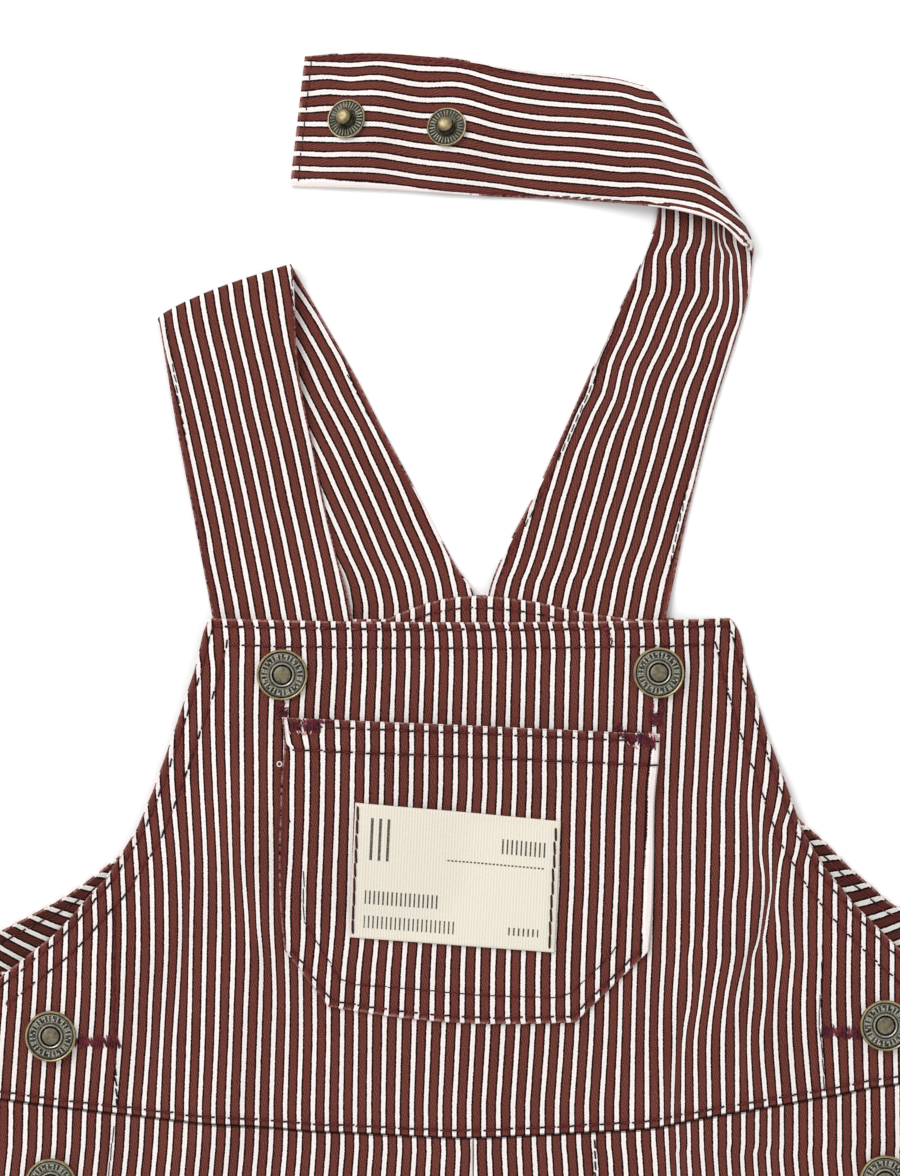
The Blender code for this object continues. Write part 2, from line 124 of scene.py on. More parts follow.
def tinted(colour, by):
    """A colour multiplied by another."""
    return blend(1.0, colour, by, "MULTIPLY")


def noise(place, scale, detail=2.0, rough=0.5):
    """Uneven cloudy values round one half."""
    given = {"Vector": place, "Scale": scale, "Detail": detail, "Roughness": rough}
    return node(place.id_data, "TexNoise", given).outputs["Fac"]


def mark_of(tree, name):
    """A value that the mesh carries."""
    return node(tree, "Attribute", attribute_name=name).outputs["Fac"]


def bumped(height, strength, distance):
    """The surface's normal tipped by a height."""
    given = {"Strength": strength, "Distance": distance, "Height": height}
    return node(height.id_data, "Bump", given).outputs[0]


def new_material(name):
    """An empty node material and its Principled shader."""
    made = bpy.data.materials.new(name)
    made.use_nodes = True
    return made, made.node_tree, made.node_tree.nodes["Principled BSDF"]


bpy.ops.object.select_all(action="DESELECT")
bpy.ops.mesh.primitive_plane_add(size=BOARD_SIZE, location=(0.0, 0.0, -BOARD_DROP * MM))
board = bpy.context.object
board.name = "board"
bpy.ops.object.transform_apply(location=True, rotation=True, scale=True)
board_paint, tree, shader = new_material("board_paint")
board_place = node(tree, "TexCoord").outputs["Object"]
board_tone = blend(noise(board_place, 3.0), (0.93, 0.93, 0.93, 1), (0.96, 0.96, 0.96, 1))
fill(shader, {"Base Color": board_tone, "Roughness": 0.9, "Specular IOR Level": 0.1})
board.data.materials.append(board_paint)

room = bpy.data.worlds.new("room")
room.use_nodes = True
room.node_tree.nodes["Background"].inputs["Color"].default_value = (1.0, 1.0, 1.0, 1.0)
room.node_tree.nodes["Background"].inputs["Strength"].default_value = 0.75
bpy.context.scene.world = room

for lamp_name, spot, size, power in (
    # where it hangs and how wide it is, in metres, and its watts
    ("key_lamp", (-1.1, 1.35, 1.7), 1.3, 34.0),
    ("fill_lamp", (1.5, -0.9, 2.0), 2.2, 9.0),
):
    lamp = bpy.data.objects.new(lamp_name, bpy.data.lights.new(lamp_name, "AREA"))
    lamp.data.size = size
    lamp.data.energy = power
    lamp.location = spot
    aim = np.array((VIEW_X * MM, VIEW_Y * MM, 0.0)) - np.array(spot)
    tilt, turn = math.atan2(math.hypot(aim[0], aim[1]), -aim[2]), math.atan2(-aim[0], aim[1])
    lamp.rotation_euler = (tilt, 0.0, turn)
    bpy.context.collection.objects.link(lamp)

camera = bpy.data.objects.new("camera", bpy.data.cameras.new("camera"))
camera.data.lens = LENS
camera.data.sensor_width = SENSOR
camera.data.clip_start = 0.01
camera.location = (VIEW_X * MM, VIEW_Y * MM, VIEW_SPAN * LENS / SENSOR * MM)
bpy.context.collection.objects.link(camera)
bpy.context.scene.camera = camera
bpy.context.scene.view_settings.view_transform = "Standard"

# ---------------------------------------------------------------------------
# The back: a bib-high back panel and the two back trouser panels, flat on the board.
# Yarn-dyed striped cotton twill, cut on the straight grain; all other cloth is cut
# from the same roll.  Each piece is one layer, turned under at its free edges.
# ---------------------------------------------------------------------------
WALL = 1.0
SEAM_GAP = 0.3
LEG_GAP = 0.1
STRIPE = 4.28              # one dark and one white stripe together
WHITE_SHARE = 0.285
HEM_DROP = 672.0
HALF_WAIST = 143.0
BACK_WAIST_DROP = 149.0
BACK_SHIFT = -0.28         # stripes from the centre to the first white one
BACK_TOP_HALF = 60.0
BACK_TOP_LINE = (
    # x, drop
    (-60.0, 0.0), (-24.2, 0.0), (-22.3, -1.1), (-18.0, -2.8), (-13.4, -4.5), (-8.0, -5.9), (-3.8, -6.5),
    (0.6, -6.8),
    (5.3, -6.8), (10.2, -6.3), (15.0, -5.7), (19.8, -5.0), (24.2, -4.0), (28.3, -3.0), (32.7, -2.2),
    (37.0, -1.5),
    (41.3, -0.9), (47.0, 0.0), (60.0, 0.0),
)
BACK_EDGE_L = (
    # drop, half width
    (0.0, 60.0), (14.0, 65.0), (31.0, 75.0), (50.0, 86.5), (66.5, 99.0), (72.3, 106.2), (77.9, 113.3),
    (82.9, 120.4), (86.4, 127.4), (90.3, 134.5), (92.0, 138.0), (95.0, 143.0), (160.0, 143.0),
)
BACK_EDGE_R = (
    (0.0, 60.0), (14.0, 65.0), (30.0, 75.0), (47.0, 86.5), (60.2, 97.9), (66.4, 105.0), (73.8, 112.1),
    (79.7, 119.2), (83.5, 122.9), (86.5, 129.0), (91.5, 137.5), (95.0, 143.0), (160.0, 143.0),
)
LEG_EDGES = (
    # below waist, inner edge, outer edge
    (0.0, 0.0, 143.0), (45.0, 0.0, 151.0), (95.0, 0.0, 160.0), (140.0, 0.0, 165.5),
    (170.0, 0.0, 167.5), (186.0, 1.5, 168.0), (205.0, 5.5, 168.0), (240.0, 10.0, 168.0),
    (300.0, 16.0, 167.5), (380.0, 24.0, 167.0), (460.0, 32.0, 167.0), (519.0, 38.0, 167.0),
)
SIDES = ((-1, "l"), (1, "r"))
RIM_ANGLES = (45.0, 90.0, 135.0)
PILE_CELL = 1.0
HOLD_REACH = 5             # cells over which cloth stays up beside what it lies on
EASE_FALL = 0.22           # and how steeply it then comes down
EASE_REACH = 34
SEWN_PITCH = 3.35          # a row of stitches: its pitch, its groove and the puffed cloth beside it
SEWN_DEPTH = 0.22
SEWN_HALF = 0.8
PUFF_HEIGHT = 0.12
PUFF_AT = 1.9
PUFF_HALF = 1.1
WAVE_LENGTHS = (14.0, 23.0, 37.0, 61.0)
SEAM_FAR = 9.0             # beyond this, a row of stitches doesn't change the cloth's look
RIM_WEAR_FAR = 3.0         # and beyond this, a finished edge


def smooth(value):
    """An even step from 0 to 1."""
    value = np.clip(value, 0.0, 1.0)
    return value * value * (3 - 2 * value)


def spline(rows, steps):
    """Rows of a table with smooth rows between them."""
    rows = np.array(rows, dtype=float)
    ends = np.vstack((2 * rows[0] - rows[1], rows, 2 * rows[-1] - rows[-2]))
    made = []
    for before, here, there, after in zip(ends, ends[1:], ends[2:], ends[3:]):
        for t in np.arange(steps) / steps:
            made.append(0.5 * (2 * here + (there - before) * t
                               + (2 * before - 5 * here + 4 * there - after) * t ** 2
                               + (3 * here - before - 3 * there + after) * t ** 3))
    made.append(rows[-1])
    return np.array(made)


def spread_out(low, high, step, ends=()):
    """Even places between two ends, with closer ones near both ends."""
    count = max(int(round((high - low) / step)), 2)
    places = list(np.linspace(low, high, count + 1))
    places += [low + near for near in ends] + [high - near for near in ends]
    return np.array(sorted(set(places)))


def crosswise(rows, share):
    """Plan between the two edges of each row (ax, a drop, bx, b drop)."""
    rows = np.array(rows, dtype=float)[:, None]
    share = np.asarray(share)[None, :, None]
    return rows[..., :2] * (1 - share) + rows[..., 2:] * share


class Pile:
    """How high the cloth already laid reaches over each spot of the board."""

    low = np.array((-200.0, -190.0))
    cells = (400, 900)

    def __init__(self):
        self.height = np.full(self.cells, -SEAM_GAP)

    def place(self, plan):
        """A plan counted in cells."""
        return (plan - self.low) / PILE_CELL - 0.5

    def lay(self, skin):
        """Note the outer skin of a laid piece."""
        for axis in (0, 1):
            spans = np.linalg.norm(np.diff(skin[..., :2], axis=axis), axis=2)
            steps = int(spans.max() / PILE_CELL) + 1
            if steps > 1:
                at = np.linspace(0, skin.shape[axis] - 1, (skin.shape[axis] - 1) * steps + 1)
                before = np.minimum(at.astype(int), skin.shape[axis] - 2)
                share = (at - before).reshape((-1, 1, 1) if axis == 0 else (1, -1, 1))
                near = np.take(skin, before, axis=axis)
                skin = near * (1 - share) + np.take(skin, before + 1, axis=axis) * share
        cell = np.clip(np.rint(self.place(skin[..., :2])).astype(int), 0, np.array(self.cells) - 1)
        np.maximum.at(self.height, (cell[..., 0], cell[..., 1]), skin[..., 2])

    def lay_disc(self, x, drop, radius, top):
        """Note a laid round piece."""
        centres = self.low + (np.moveaxis(np.indices(self.cells), 0, -1) + 0.5) * PILE_CELL
        away = np.linalg.norm(centres - (x, drop), axis=-1)
        self.height = np.where(away < radius, np.maximum(self.height, top), self.height)

    @staticmethod
    def spread(height, steps, fall):
        """Widen high spots outward, coming down by a fall at each step."""
        for step in range(steps):
            wide = np.pad(height, 1, mode="edge")
            height = np.maximum(height, np.maximum.reduce(
                (wide[:-2, 1:-1], wide[2:, 1:-1], wide[1:-1, :-2], wide[1:-1, 2:])) - fall)
            if step % 2:
                height = np.maximum(height, np.maximum.reduce(
                    (wide[:-2, :-2], wide[2:, 2:], wide[2:, :-2], wide[:-2, 2:])) - fall)
        return height

    @staticmethod
    def blurred(height):
        """Round off the heights over a few cells."""
        for axis in (0, 1):
            for reach in (1, 2):
                margin = [(reach, reach) if side == axis else (0, 0) for side in (0, 1)]
                wide = np.pad(height, margin, mode="edge")
                count = height.shape[axis]
                parts = [np.take(wide, range(k, k + count), axis=axis) for k in range(2 * reach + 1)]
                height = np.mean(parts, axis=0)
        return height

    def under(self, plan):
        """Where the underside of the next piece lies."""
        corner = np.floor(self.place(plan.reshape(-1, 2).min(axis=0))).astype(int) - EASE_REACH
        far = np.ceil(self.place(plan.reshape(-1, 2).max(axis=0))).astype(int) + EASE_REACH
        corner = np.maximum(corner, 0)
        patch = self.height[corner[0]:far[0] + 2, corner[1]:far[1] + 2]
        patch = self.spread(patch, HOLD_REACH, 0.0)
        patch = self.blurred(self.spread(patch, EASE_REACH, EASE_FALL * PILE_CELL))
        at = self.place(plan) - corner
        cell = np.clip(np.floor(at).astype(int), 0, np.array(patch.shape) - 2)
        share = np.clip(at - cell, 0, 1)
        i, j = cell[..., 0], cell[..., 1]
        a, b = share[..., 0], share[..., 1]
        level = (patch[i, j] * (1 - a) * (1 - b) + patch[i + 1, j] * a * (1 - b)
                 + patch[i, j + 1] * (1 - a) * b + patch[i + 1, j + 1] * a * b)
        return level + SEAM_GAP


def away_from(plan, line):
    """Distance from each point of a plan to a line of points, and how far along it lies."""
    line = np.array(line, dtype=float)
    nearest = np.full(plan.shape[:-1], 1e9)
    run = np.zeros(plan.shape[:-1])
    start = 0.0
    for first, second in zip(line, line[1:]):
        span = second - first
        length = np.linalg.norm(span)
        if length == 0:
            continue
        share = np.clip((plan - first) @ span / length ** 2, 0, 1)
        gap = np.linalg.norm(plan - (first + share[..., None] * span), axis=-1)
        closer = gap < nearest
        run = np.where(closer, start + share * length, run)
        nearest = np.where(closer, gap, nearest)
        start += length
    return nearest, run, start


def soft_line(plan, line, half_width, height):
    """A soft ridge or trough along a line, fading out towards its ends."""
    away, run, length = away_from(plan, line)
    ends = smooth(3 * run / length) * smooth(3 * (1 - run / length))
    return height * ends * np.exp(-(away / half_width) ** 2)


def sewn_in(plan, line):
    """The cloth drawn down along a row of stitches and puffed up beside it."""
    away, run, _ = away_from(plan, line)
    turn = 2 * math.pi * run / SEWN_PITCH
    groove = np.exp(-(away / SEWN_HALF) ** 2) * (0.8 + 0.2 * np.cos(turn))
    beside = np.exp(-((away - PUFF_AT) / PUFF_HALF) ** 2) * (0.6 + 0.4 * np.sin(turn / 2.1 + away))
    return PUFF_HEIGHT * beside - SEWN_DEPTH * groove


def undulation(plan, height, seed):
    """Gentle unevenness of cloth that has been worn and washed."""
    draw = np.random.default_rng(seed)
    total = np.zeros(plan.shape[:-1])
    for length in WAVE_LENGTHS:
        turn = draw.uniform(-0.5, 0.5)
        phase = draw.uniform(0, 2 * math.pi, 2)
        across = plan[..., 0] * math.cos(turn) + plan[..., 1] * math.sin(turn)
        along = plan[..., 1] * math.cos(turn) - plan[..., 0] * math.sin(turn)
        wave = np.sin(2 * math.pi * across / length + phase[0])
        total += length * wave * np.sin(2 * math.pi * along / (1.9 * length) + phase[1])
    return height * total / (2 * WAVE_LENGTHS[2])


SKINS = {}


def placed(points):
    """Points of (x, drop, height) in millimetres as they stand in the scene."""
    return np.column_stack((points[:, 0], BIB_TOP_Y - points[:, 1], points[:, 2])) * MM


def grid_quads(rows, columns):
    """The faces between the points of a grid."""
    corner = (np.arange(rows - 1)[:, None] * columns + np.arange(columns - 1)).reshape(-1)
    return np.stack((corner, corner + columns, corner + columns + 1, corner + 1), axis=1)


def note_skin(name, skin, grain):
    """Keep the outer skin of a laid piece, so that threads and studs can be set on it."""
    rows, columns = skin.shape[:2]
    tree = BVHTree.FromPolygons(placed(skin.reshape(-1, 3)).tolist(), grid_quads(rows, columns).tolist())
    SKINS[name] = (tree, skin[..., :2], grain[..., 0])


def cloth_shell(name, middle, facing, grain, edge, look, wall=WALL, seam=None):
    """A closed layer of cloth round a grid of middle points, with half-round turned edges.

    middle and facing hold (x, drop, height); grain counts stripes across and along; edge and
    seam are the distances to a finished edge and to a row of stitches.  An edge below nought
    lies in the shade of a seam."""
    middle = np.array(middle, dtype=float)
    rows, columns = middle.shape[:2]
    facing = np.broadcast_to(np.array(facing, dtype=float), middle.shape)
    rim = [(i, 0) for i in range(rows)] + [(rows - 1, j) for j in range(1, columns)]
    rim += [(i, columns - 1) for i in range(rows - 2, -1, -1)] + [(0, j) for j in range(columns - 2, 0, -1)]
    at_rim = tuple(np.array(rim).T)
    inner = tuple(np.clip(rim, 1, (rows - 2, columns - 2)).T)
    out = middle[at_rim] - middle[inner]
    rim_facing = facing[at_rim]
    out -= rim_facing * np.sum(out * rim_facing, axis=1)[:, None]
    out /= np.linalg.norm(out, axis=1)[:, None]
    middle[at_rim] -= out * wall / 2
    base = middle[at_rim]
    points = [(middle + facing * wall / 2).reshape(-1, 3), (middle - facing * wall / 2).reshape(-1, 3)]
    for angle in np.radians(RIM_ANGLES):
        points.append(base + (rim_facing * math.cos(angle) + out * math.sin(angle)) * wall / 2)
    rim_index = at_rim[0] * columns + at_rim[1]
    seam = np.full(edge.shape, SEAM_FAR) if seam is None else np.minimum(seam, SEAM_FAR)
    rim_edge = edge[at_rim]
    rim_edge = np.where(rim_edge > RIM_WEAR_FAR, rim_edge, np.minimum(rim_edge, 0.0))
    marks, edges, seams = (
        np.concatenate([flat] * 2 + [round_rim] * len(RIM_ANGLES)) for flat, round_rim in (
            (grain.reshape(-1, 2), grain[at_rim]), (edge.ravel(), rim_edge), (seam.ravel(), seam[at_rim])))
    count = rows * columns
    quads = [grid_quads(rows, columns)]
    quads.append(quads[0][:, ::-1] + count)
    rings = [2 * count + k * len(rim) + np.arange(len(rim)) for k in range(len(RIM_ANGLES))]
    rings = [rim_index] + rings + [rim_index + count]
    for ring, after in zip(rings, rings[1:]):
        quads.append(np.stack((ring, np.roll(ring, -1), np.roll(after, -1), after), axis=1))
    mesh = bpy.data.meshes.new(name)
    mesh.from_pydata(placed(np.concatenate(points)).tolist(), [], np.concatenate(quads).tolist())
    bm = bmesh.new()
    bm.from_mesh(mesh)
    bmesh.ops.recalc_face_normals(bm, faces=bm.faces)
    bm.to_mesh(mesh)
    bm.free()
    mesh.shade_smooth()
    corners = np.empty(len(mesh.loops), dtype=np.int32)
    mesh.loops.foreach_get("vertex_index", corners)
    mesh.uv_layers.new(name="grain").data.foreach_set("uv", marks[corners].astype(np.float32).ravel())
    for mark, values in (("edge", edges), ("seam", seams)):
        mesh.attributes.new(mark, "FLOAT", "POINT").data.foreach_set("value", values.astype(np.float32))
    mesh.materials.append(look)
    piece = bpy.data.objects.new(name, mesh)
    bpy.context.collection.objects.link(piece)
    return piece


def straight_grain(plan, shift=0.0):
    """Stripes that run straight down."""
    return np.stack((plan[..., 0] / STRIPE + shift, -plan[..., 1] / STRIPE), axis=-1)


def edge_of(plan, *lines):
    """Distance to the nearest of some finished edges."""
    return np.min([away_from(plan, line)[0] for line in lines], axis=0)


def back_top(across):
    """Drop of the back's top edge at a share of its half width."""
    return np.interp(across * BACK_TOP_HALF, *np.array(BACK_TOP_LINE).T)


def body_plan(left_table, right_table, top_drop, foot_drop, drops, across):
    """Plan of a panel between a top edge and a waist seam, with side edges from two tables."""
    share = (drops / drops[-1])[:, None]
    half = [np.interp(share * foot_drop(np.array(end)), *np.array(table).T)
            for table, end in ((left_table, -1.0), (right_table, 1.0))]
    down = top_drop(across)[None] * (1 - share) + foot_drop(across)[None] * share
    return np.stack((across[None] * np.where(across[None] < 0, *half), down), axis=-1)


def leg_plan(side, waist, steps, across, centre=0.0):
    """Plan of one trouser panel, from the waist seam to the hem."""
    table = np.array(LEG_EDGES)
    inner = (side * np.interp(steps, table[:, 0], table[:, 1]) + centre + side * SEAM_GAP / 2)[:, None]
    outer = side * np.interp(steps, table[:, 0], table[:, 2])[:, None]
    share = (steps / table[-1, 0])[:, None]
    down = (waist(side * across) + LEG_GAP)[None] * (1 - share) + HEM_DROP * share
    return np.stack((inner + (outer - inner) * across[None], down), axis=-1)


# The cloth's own look: ragged dark and white stripes, the dark yarns drawn in beside each white one,
# fine steep twill lines and worn pale edges, with painted shade along seams, beside rows of stitches
# and down the middle of each white stripe
twill = bpy.data.node_groups.new("striped_twill", "ShaderNodeTree")
for in_out, sockets in (
    ("INPUT", (("Grain", "Vector"), ("Edge", "Float"), ("White Share", "Float"), ("Dark", "Color"),
               ("Light", "Color"), ("Wear", "Float"), ("Seam", "Float"))),
    ("OUTPUT", (("Color", "Color"), ("Roughness", "Float"), ("Height", "Float"))),
):
    for name, kind in sockets:
        twill.interface.new_socket(name=name, in_out=in_out, socket_type="NodeSocket" + kind)
given = twill.nodes.new("NodeGroupInput").outputs
grain = given["Grain"]
parts = node(twill, "SeparateXYZ", {0: grain}).outputs
ragged = times(minus(noise(grain, 9.0, 2.0, 0.7), 0.5), 0.11)
swell = times(minus(noise(grain, 1.1, 1.0), 0.5), 0.05)
turn = minus(maths("FRACT", plus(parts["X"], 0.5)), 0.5)
off_centre = plus(maths("ABSOLUTE", turn), plus(ragged, swell))
half_white = times(given["White Share"], 0.5)
into_dark = minus(off_centre, half_white)
dark_share = scaled(into_dark, 40.0, 0.5, clamp=True)
drawn_in = maths("ABSOLUTE", minus(into_dark, 0.058))
drawn_in = scaled(drawn_in, -20.0, 1.85, clamp=True)
phase = plus(times(parts["X"], 6.1), times(parts["Y"], 2.1))
phase = scaled(noise(grain, 3.2, 2.0), 1.7, phase)
ridge = scaled(maths("SINE", times(phase, 2 * math.pi)), 0.5, 0.5)
speck = noise(grain, 16.0, 2.0, 0.8)
streak_place = node(twill, "VectorMath", {0: grain, 1: (11.0, 0.55, 1.0)}, operation="MULTIPLY").outputs[0]
streak = noise(streak_place, 1.0, 3.0, 0.6)
cloud = noise(grain, 0.16, 3.0, 0.6)
patchy = noise(grain, 1.3, 2.0, 0.6)
dark_tone = times(minus(ridge, 0.5), scaled(patchy, 3.0, -0.85, clamp=True))
dark_tone = plus(dark_tone, scaled(speck, 2.5, -0.75))
dark_tone = scaled(minus(cloud, 0.5), 0.5, dark_tone, clamp=True)
dark_low = tinted(given["Dark"], (0.52, 0.42, 0.40, 1))
reddish = scaled(noise(grain, 11.0, 1.0), 5.0, -2.0, clamp=True)
hue = blend(reddish, (1.46, 1.36, 1.66, 1), (1.56, 2.05, 1.60, 1))
dark_high = tinted(given["Dark"], hue)
dark_cloth = blend(dark_tone, dark_low, dark_high)
shadowed = tinted(given["Dark"], (0.03, 0.02, 0.03, 1))
dark_cloth = blend(times(drawn_in, 0.97), dark_cloth, shadowed)
white_low = tinted(given["Light"], (0.77, 0.795, 0.795, 1))
white_tone = plus(times(streak, 1.1), times(speck, 0.5))
# Painted shade: each white stripe is darker towards its middle, for the groove between its ribs; the streaks
# and specks are the yarn's own tone
white_tone = plus(white_tone, scaled(into_dark, 7.0, 0.02))
white_cloth = blend(plus(white_tone, 0.0, clamp=True), white_low, given["Light"])
cloth_tone = blend(dark_share, white_cloth, dark_cloth)
worn = minus(1.0, maths("DIVIDE", maths("MAXIMUM", given["Edge"], 0.0), 0.9), clamp=True)
rubbed_at = noise(grain, 3.4, 3.0, 0.7)
worn = times(worn, scaled(rubbed_at, 6.0, -2.5, clamp=True))
worn = times(worn, given["Wear"])
shaded = times(given["Edge"], -1.0, clamp=True)
worn = times(worn, minus(1.0, shaded))
pale = blend(dark_share, (0.88, 0.70, 0.67, 1), (0.36, 0.18, 0.155, 1))
cloth_tone = blend(worn, cloth_tone, pale)
cloth_tone = blend(times(shaded, 0.72), cloth_tone,
                   tinted(cloth_tone, (0.20, 0.12, 0.13, 1)))
reddened = times(scaled(given["Seam"], -0.36, 1.0, clamp=True), dark_share)
cloth_tone = blend(times(reddened, 0.35), cloth_tone,
                   tinted(cloth_tone, (0.92, 0.50, 0.66, 1)))
# Painted shade in the groove that each row of stitches draws into the cloth, patchy along the row and darker
# over the dark stripes
stitch_groove_shade = scaled(given["Seam"], -1.9, 1.15, clamp=True)
stitch_groove_shade = times(stitch_groove_shade, scaled(rubbed_at, 0.8, 0.2))
stitch_groove_shade = times(stitch_groove_shade, scaled(dark_share, 0.84, 0.16))
cloth_tone = blend(stitch_groove_shade, cloth_tone, tinted(cloth_tone, (0.34, 0.26, 0.27, 1)))
fleck = scaled(noise(grain, 7.0, 1.0), 14.0, -10.4, clamp=True)
cloth_tone = blend(times(fleck, 0.40), cloth_tone, (0.42, 0.22, 0.20, 1))
height = plus(times(ridge, 0.6), times(speck, 0.7))
height = scaled(streak, 0.5, height)
height = scaled(drawn_in, -0.5, height)
put_out = twill.nodes.new("NodeGroupOutput").inputs
twill.links.new(cloth_tone, put_out["Color"])
twill.links.new(scaled(speck, 0.12, 0.80), put_out["Roughness"])
twill.links.new(height, put_out["Height"])


def striped_cloth(name, dark, light, wear):
    """A striped twill with its own tones."""
    made, tree, shader = new_material(name)
    group = tree.nodes.new("ShaderNodeGroup")
    group.node_tree = twill
    fill(group, {"Grain": node(tree, "UVMap", uv_map="grain").outputs[0], "White Share": WHITE_SHARE,
                 "Dark": dark, "Light": light, "Wear": wear, "Edge": mark_of(tree, "edge"),
                 "Seam": mark_of(tree, "seam")})
    given = group.outputs
    fill(shader, {"Base Color": given["Color"], "Roughness": given["Roughness"],
                  "Normal": bumped(given["Height"], 0.35, 0.00022), "Specular IOR Level": 0.10,
                  "Sheen Weight": 0.02, "Sheen Roughness": 0.5})
    return made


DARK_STRIPE = (0.124, 0.0312, 0.0246, 1.0)
WHITE_STRIPE = (0.965, 0.868, 0.842, 1.0)
twill_cloth = striped_cloth("twill_cloth", DARK_STRIPE, WHITE_STRIPE, 0.85)
# A darker copy of the same twill, as painted shade, for the armhole facings and the underlaps
shade_painted_cloth = striped_cloth("shade_painted_twill_cloth", (0.066, 0.015, 0.012, 1.0), (0.74, 0.70, 0.655, 1.0), 0.9)
pile = Pile()


def lay_cloth(name, plan, underside, grain, edge, node_name, flat, area=None, look=twill_cloth,
              seams=()):
    """Lay one flat piece and hide the part that it stands for."""
    middle = np.dstack((plan, underside + WALL / 2))
    seam = edge_of(plan, *seams) if len(seams) else None
    piece = cloth_shell(name, middle, (0.0, 0.0, 1.0), grain, edge, look, seam=seam)
    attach(piece, "root")
    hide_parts(node_name)
    note_skin(name, skin_of(plan, underside), grain)
    return piece


def skin_of(plan, underside):
    """The upper side of a laid piece."""
    return np.dstack((plan, underside + WALL))


def back_waist(across):
    """Drop of the back waist seam, which is straight."""
    return BACK_WAIST_DROP + 0 * across


plan = body_plan(BACK_EDGE_L, BACK_EDGE_R, back_top, back_waist, spread_out(0, BACK_WAIST_DROP, 2.4, (0.9,)),
                 spread_out(-1, 1, 0.018, (0.006,)))
shells = [("back_cloth", plan, straight_grain(plan, BACK_SHIFT),
           edge_of(plan, plan[0], plan[:, 0], plan[:, -1]), "back_bib", (0.286, 0.155), 0.0345)]
for side, tag in SIDES:
    leg = leg_plan(side, back_waist, spread_out(0, LEG_EDGES[-1][0], 6.0, (1.5,)),
                   spread_out(0, 1, 0.035, (0.01,)))
    shells.append((f"back_leg_cloth_{tag}", leg, straight_grain(leg), edge_of(leg, leg[-1]),
                   f"back_leg_{tag}", (0.168, 0.523), 0.0758))
for name, laid, grain, edge, node_name, flat, area in shells:
    on_board = np.zeros(laid.shape[:2])
    lay_cloth(name, laid, on_board, grain, edge, node_name, flat, area)
    pile.lay(skin_of(laid, on_board))

# ---------------------------------------------------------------------------
# Inside the back: the two armhole facings, cut crosswise, and the underlaps that
# close the side openings under the front.  The facings are topstitched to the back along their edges.
# ---------------------------------------------------------------------------
ARMHOLE_FACING_DROPS = (52.0, 95.0)
ARMHOLE_FACING_WIDTH = 24.0
ARMHOLE_FACING_LEAN = 8.0
FACING_SLANT_FROM = 100.0  # how the crosswise stripes sink, evenly and then faster, further out
FACING_SLANT = 0.15
FACING_BEND_FROM = 108.0
FACING_BEND = 0.0075
FACING_PITCH = {-1: 4.68, 1: 5.07}
FACING_SHIFT = {-1: -0.41, 1: -0.09}
UNDERLAP_TOP = 104.0
UNDERLAP_FOOT = 196.0
UNDERLAP_WIDTH = 30.0
UNDERLAP_IN = 1.0
FACING_STITCH_IN = 3.0


def inset_line(line, distance):
    """A line moved sideways, to the left of its direction for a positive distance."""
    line = np.array(line, dtype=float)
    ahead = np.vstack((line[1:], 2 * line[-1] - line[-2])) - np.vstack((2 * line[0] - line[1], line[:-1]))
    ahead /= np.linalg.norm(ahead, axis=1)[:, None]
    return line + distance * np.column_stack((ahead[:, 1], -ahead[:, 0]))


facing_lines = {}
facings = []
for side, tag in SIDES:
    drops = spread_out(*ARMHOLE_FACING_DROPS, 1.5, (0.7,))
    half = np.interp(drops, *np.array(BACK_EDGE_L if side < 0 else BACK_EDGE_R).T)
    lean = ARMHOLE_FACING_LEAN * smooth((HALF_WAIST - half) / ARMHOLE_FACING_WIDTH)
    rows = np.column_stack((side * half, drops, side * (half - lean), drops + ARMHOLE_FACING_WIDTH))
    plan = crosswise(rows, spread_out(0, 1, 0.06, (0.03,)))
    facing_lines[side] = inset_line(plan[:, 0], -side * FACING_STITCH_IN)
    out = np.abs(plan[..., 0])
    slant = FACING_SLANT * (out - FACING_SLANT_FROM)
    slant += FACING_BEND * np.maximum(out - FACING_BEND_FROM, 0.0) ** 2
    count = (plan[..., 1] + slant) / FACING_PITCH[side] + FACING_SHIFT[side]
    grain = np.stack((count, plan[..., 0] / STRIPE), axis=-1)
    underside = pile.under(plan)
    relief = sewn_in(plan, facing_lines[side])
    lay_cloth(f"armhole_facing_cloth_{tag}", plan, underside + relief, grain, edge_of(plan, plan[:, 0]),
              f"back_armhole_facing_{tag}", (0.024, 0.072), look=shade_painted_cloth,
              seams=[facing_lines[side]])
    facings.append(skin_of(plan, underside))
for skin in facings:
    pile.lay(skin)

underlaps = []
for side, tag in SIDES:
    drops = spread_out(UNDERLAP_TOP, UNDERLAP_FOOT, 2.5, (0.9,))
    below = np.maximum(drops - BACK_WAIST_DROP, 0.0)
    edge = np.interp(below, *np.array(LEG_EDGES)[:, ::2].T) - UNDERLAP_IN
    rows = np.column_stack((side * edge, drops, side * (edge - UNDERLAP_WIDTH), drops))
    plan = crosswise(rows, spread_out(0, 1, 0.08, (0.03,)))
    underside = pile.under(plan)
    lay_cloth(f"underlap_cloth_{tag}", plan, underside, straight_grain(plan),
              edge_of(plan, plan[0], plan[:, -1]), f"side_underlap_{tag}", (0.030, 0.098),
              look=shade_painted_cloth)
    underlaps.append(skin_of(plan, underside))
for skin in underlaps:
    pile.lay(skin)

